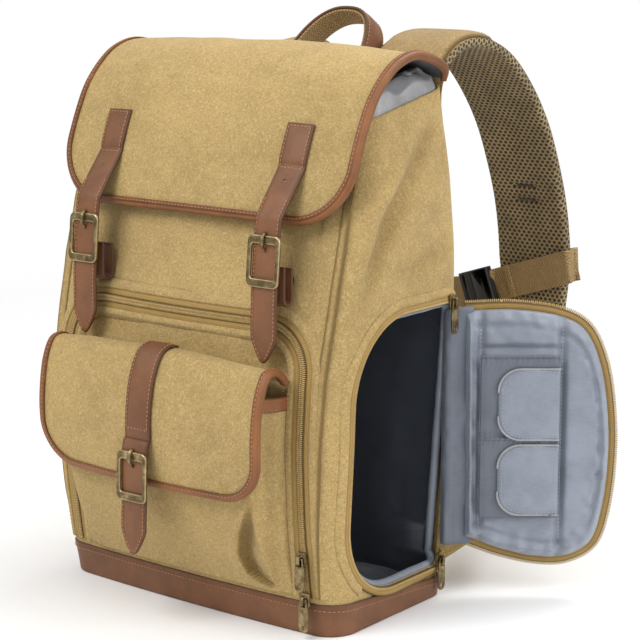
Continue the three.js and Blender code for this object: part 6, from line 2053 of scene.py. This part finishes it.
# Stitches, one mesh for each kind of thread
stitchLooks = {
    "leather": (leatherThread, "leather", 2.5, 0.42),
    "canvas": (canvasThread, "canvas", 2.9, 0.38),
    "lining": (liningThread, "lining", 2.2, 0.3),
}
for kind, jobs in stitchJobs.items():
    if jobs:
        thread, slotName, length, radius = stitchLooks[kind]
        shape, shapeFaces = stitchShape(length, radius)
        places, along, across, out = (np.vstack([job[k] for job in jobs]) for k in range(4))
        addRepeats(f"{kind}_stitches", shape, shapeFaces, places, along, across, out, thread, slotName)
print("stitches ready")

# Stage, light and camera
studio = {"floor": 1.7, "fade": 0.55, "paper": (0.9, 0.9, 0.9), "sky": 0.6}


# A pale floor that fades out to the white backdrop: its alpha falls with the distance from the
# middle
def floorPaper():
    half = studio["floor"]
    mesh = bpy.data.meshes.new("floor")
    corners = [(-half, -half, 0), (half, -half, 0), (half, half, 0), (-half, half, 0)]
    mesh.from_pydata(corners, [], [(0, 1, 2, 3)])
    f = Finish("pale floor", Roughness=0.9)
    f.shader.inputs["Base Color"].default_value = shade(*studio["paper"])
    away = f.node("ShaderNodeVectorMath", {"operation": "LENGTH"}, {0: f.place()}, 1)
    f.set("Alpha", 1 - away.step(studio["fade"], half * 0.97))
    mesh.materials.append(f.material)
    floor = bpy.data.objects.new("floor", mesh)
    bpy.context.scene.collection.objects.link(floor)


# A square light that faces a point, from an azimuth and elevation in degrees
def softLight(name, azimuth, elevation, distance, size, power, target=(0.05, 0, 0.22)):
    a, e = math.radians(azimuth), math.radians(elevation)
    lamp = bpy.data.lights.new(name, "AREA")
    lamp.shape, lamp.size, lamp.energy = "SQUARE", size, power
    back = Vector((math.sin(a) * math.cos(e), -math.cos(a) * math.cos(e), math.sin(e)))
    made = bpy.data.objects.new(name, lamp)
    made.location = Vector(target) + back * distance
    made.rotation_euler = back.to_track_quat("Z", "Y").to_euler()
    bpy.context.scene.collection.objects.link(made)


# worked out from the photo: degrees, millimetres, and the focal length in pixels of 640 across
cameraPlan = {
    "azimuth": 38.05, "elevation": 11.5, "distance": 1581.4, "focalPixels": 1971.98,
    "target": (69.3, 0, 232.2),
}


# White surroundings, three soft lights and the photo's camera
def lightAndCamera():
    bpy.context.scene.view_settings.view_transform = "Standard"
    world = bpy.data.worlds.new("white sky")
    bpy.context.scene.world = world
    world.use_nodes = True
    # the backdrop is white where the camera sees it, and lights the object less than that
    nodes, links = world.node_tree.nodes, world.node_tree.links
    sky = nodes["Background"]
    sky.inputs[0].default_value = (1, 1, 1, 1)
    path, strength = nodes.new("ShaderNodeLightPath"), nodes.new("ShaderNodeMapRange")
    strength.inputs["To Min"].default_value = studio["sky"]
    links.new(path.outputs["Is Camera Ray"], strength.inputs["Value"])
    links.new(strength.outputs[0], sky.inputs[1])
    softLight("key", -12, 46, 1.9, 1.0, 22)
    softLight("side", 95, 30, 2.0, 1.2, 20)
    softLight("rim", 170, 58, 1.9, 1.0, 18)
    a, e = math.radians(cameraPlan["azimuth"]), math.radians(cameraPlan["elevation"])
    back = Vector((math.sin(a) * math.cos(e), -math.cos(a) * math.cos(e), math.sin(e)))
    lens = bpy.data.cameras.new("camera")
    lens.sensor_width = 36
    lens.lens = cameraPlan["focalPixels"] / 640 * 36
    lens.clip_start, lens.clip_end = 0.05, 50
    made = bpy.data.objects.new("camera", lens)
    made.location = (Vector(cameraPlan["target"]) + back * cameraPlan["distance"]) * toMetres
    made.rotation_euler = back.to_track_quat("Z", "Y").to_euler()
    bpy.context.scene.collection.objects.link(made)
    bpy.context.scene.camera = made


floorPaper()
lightAndCamera()

print("scene ready to finish")
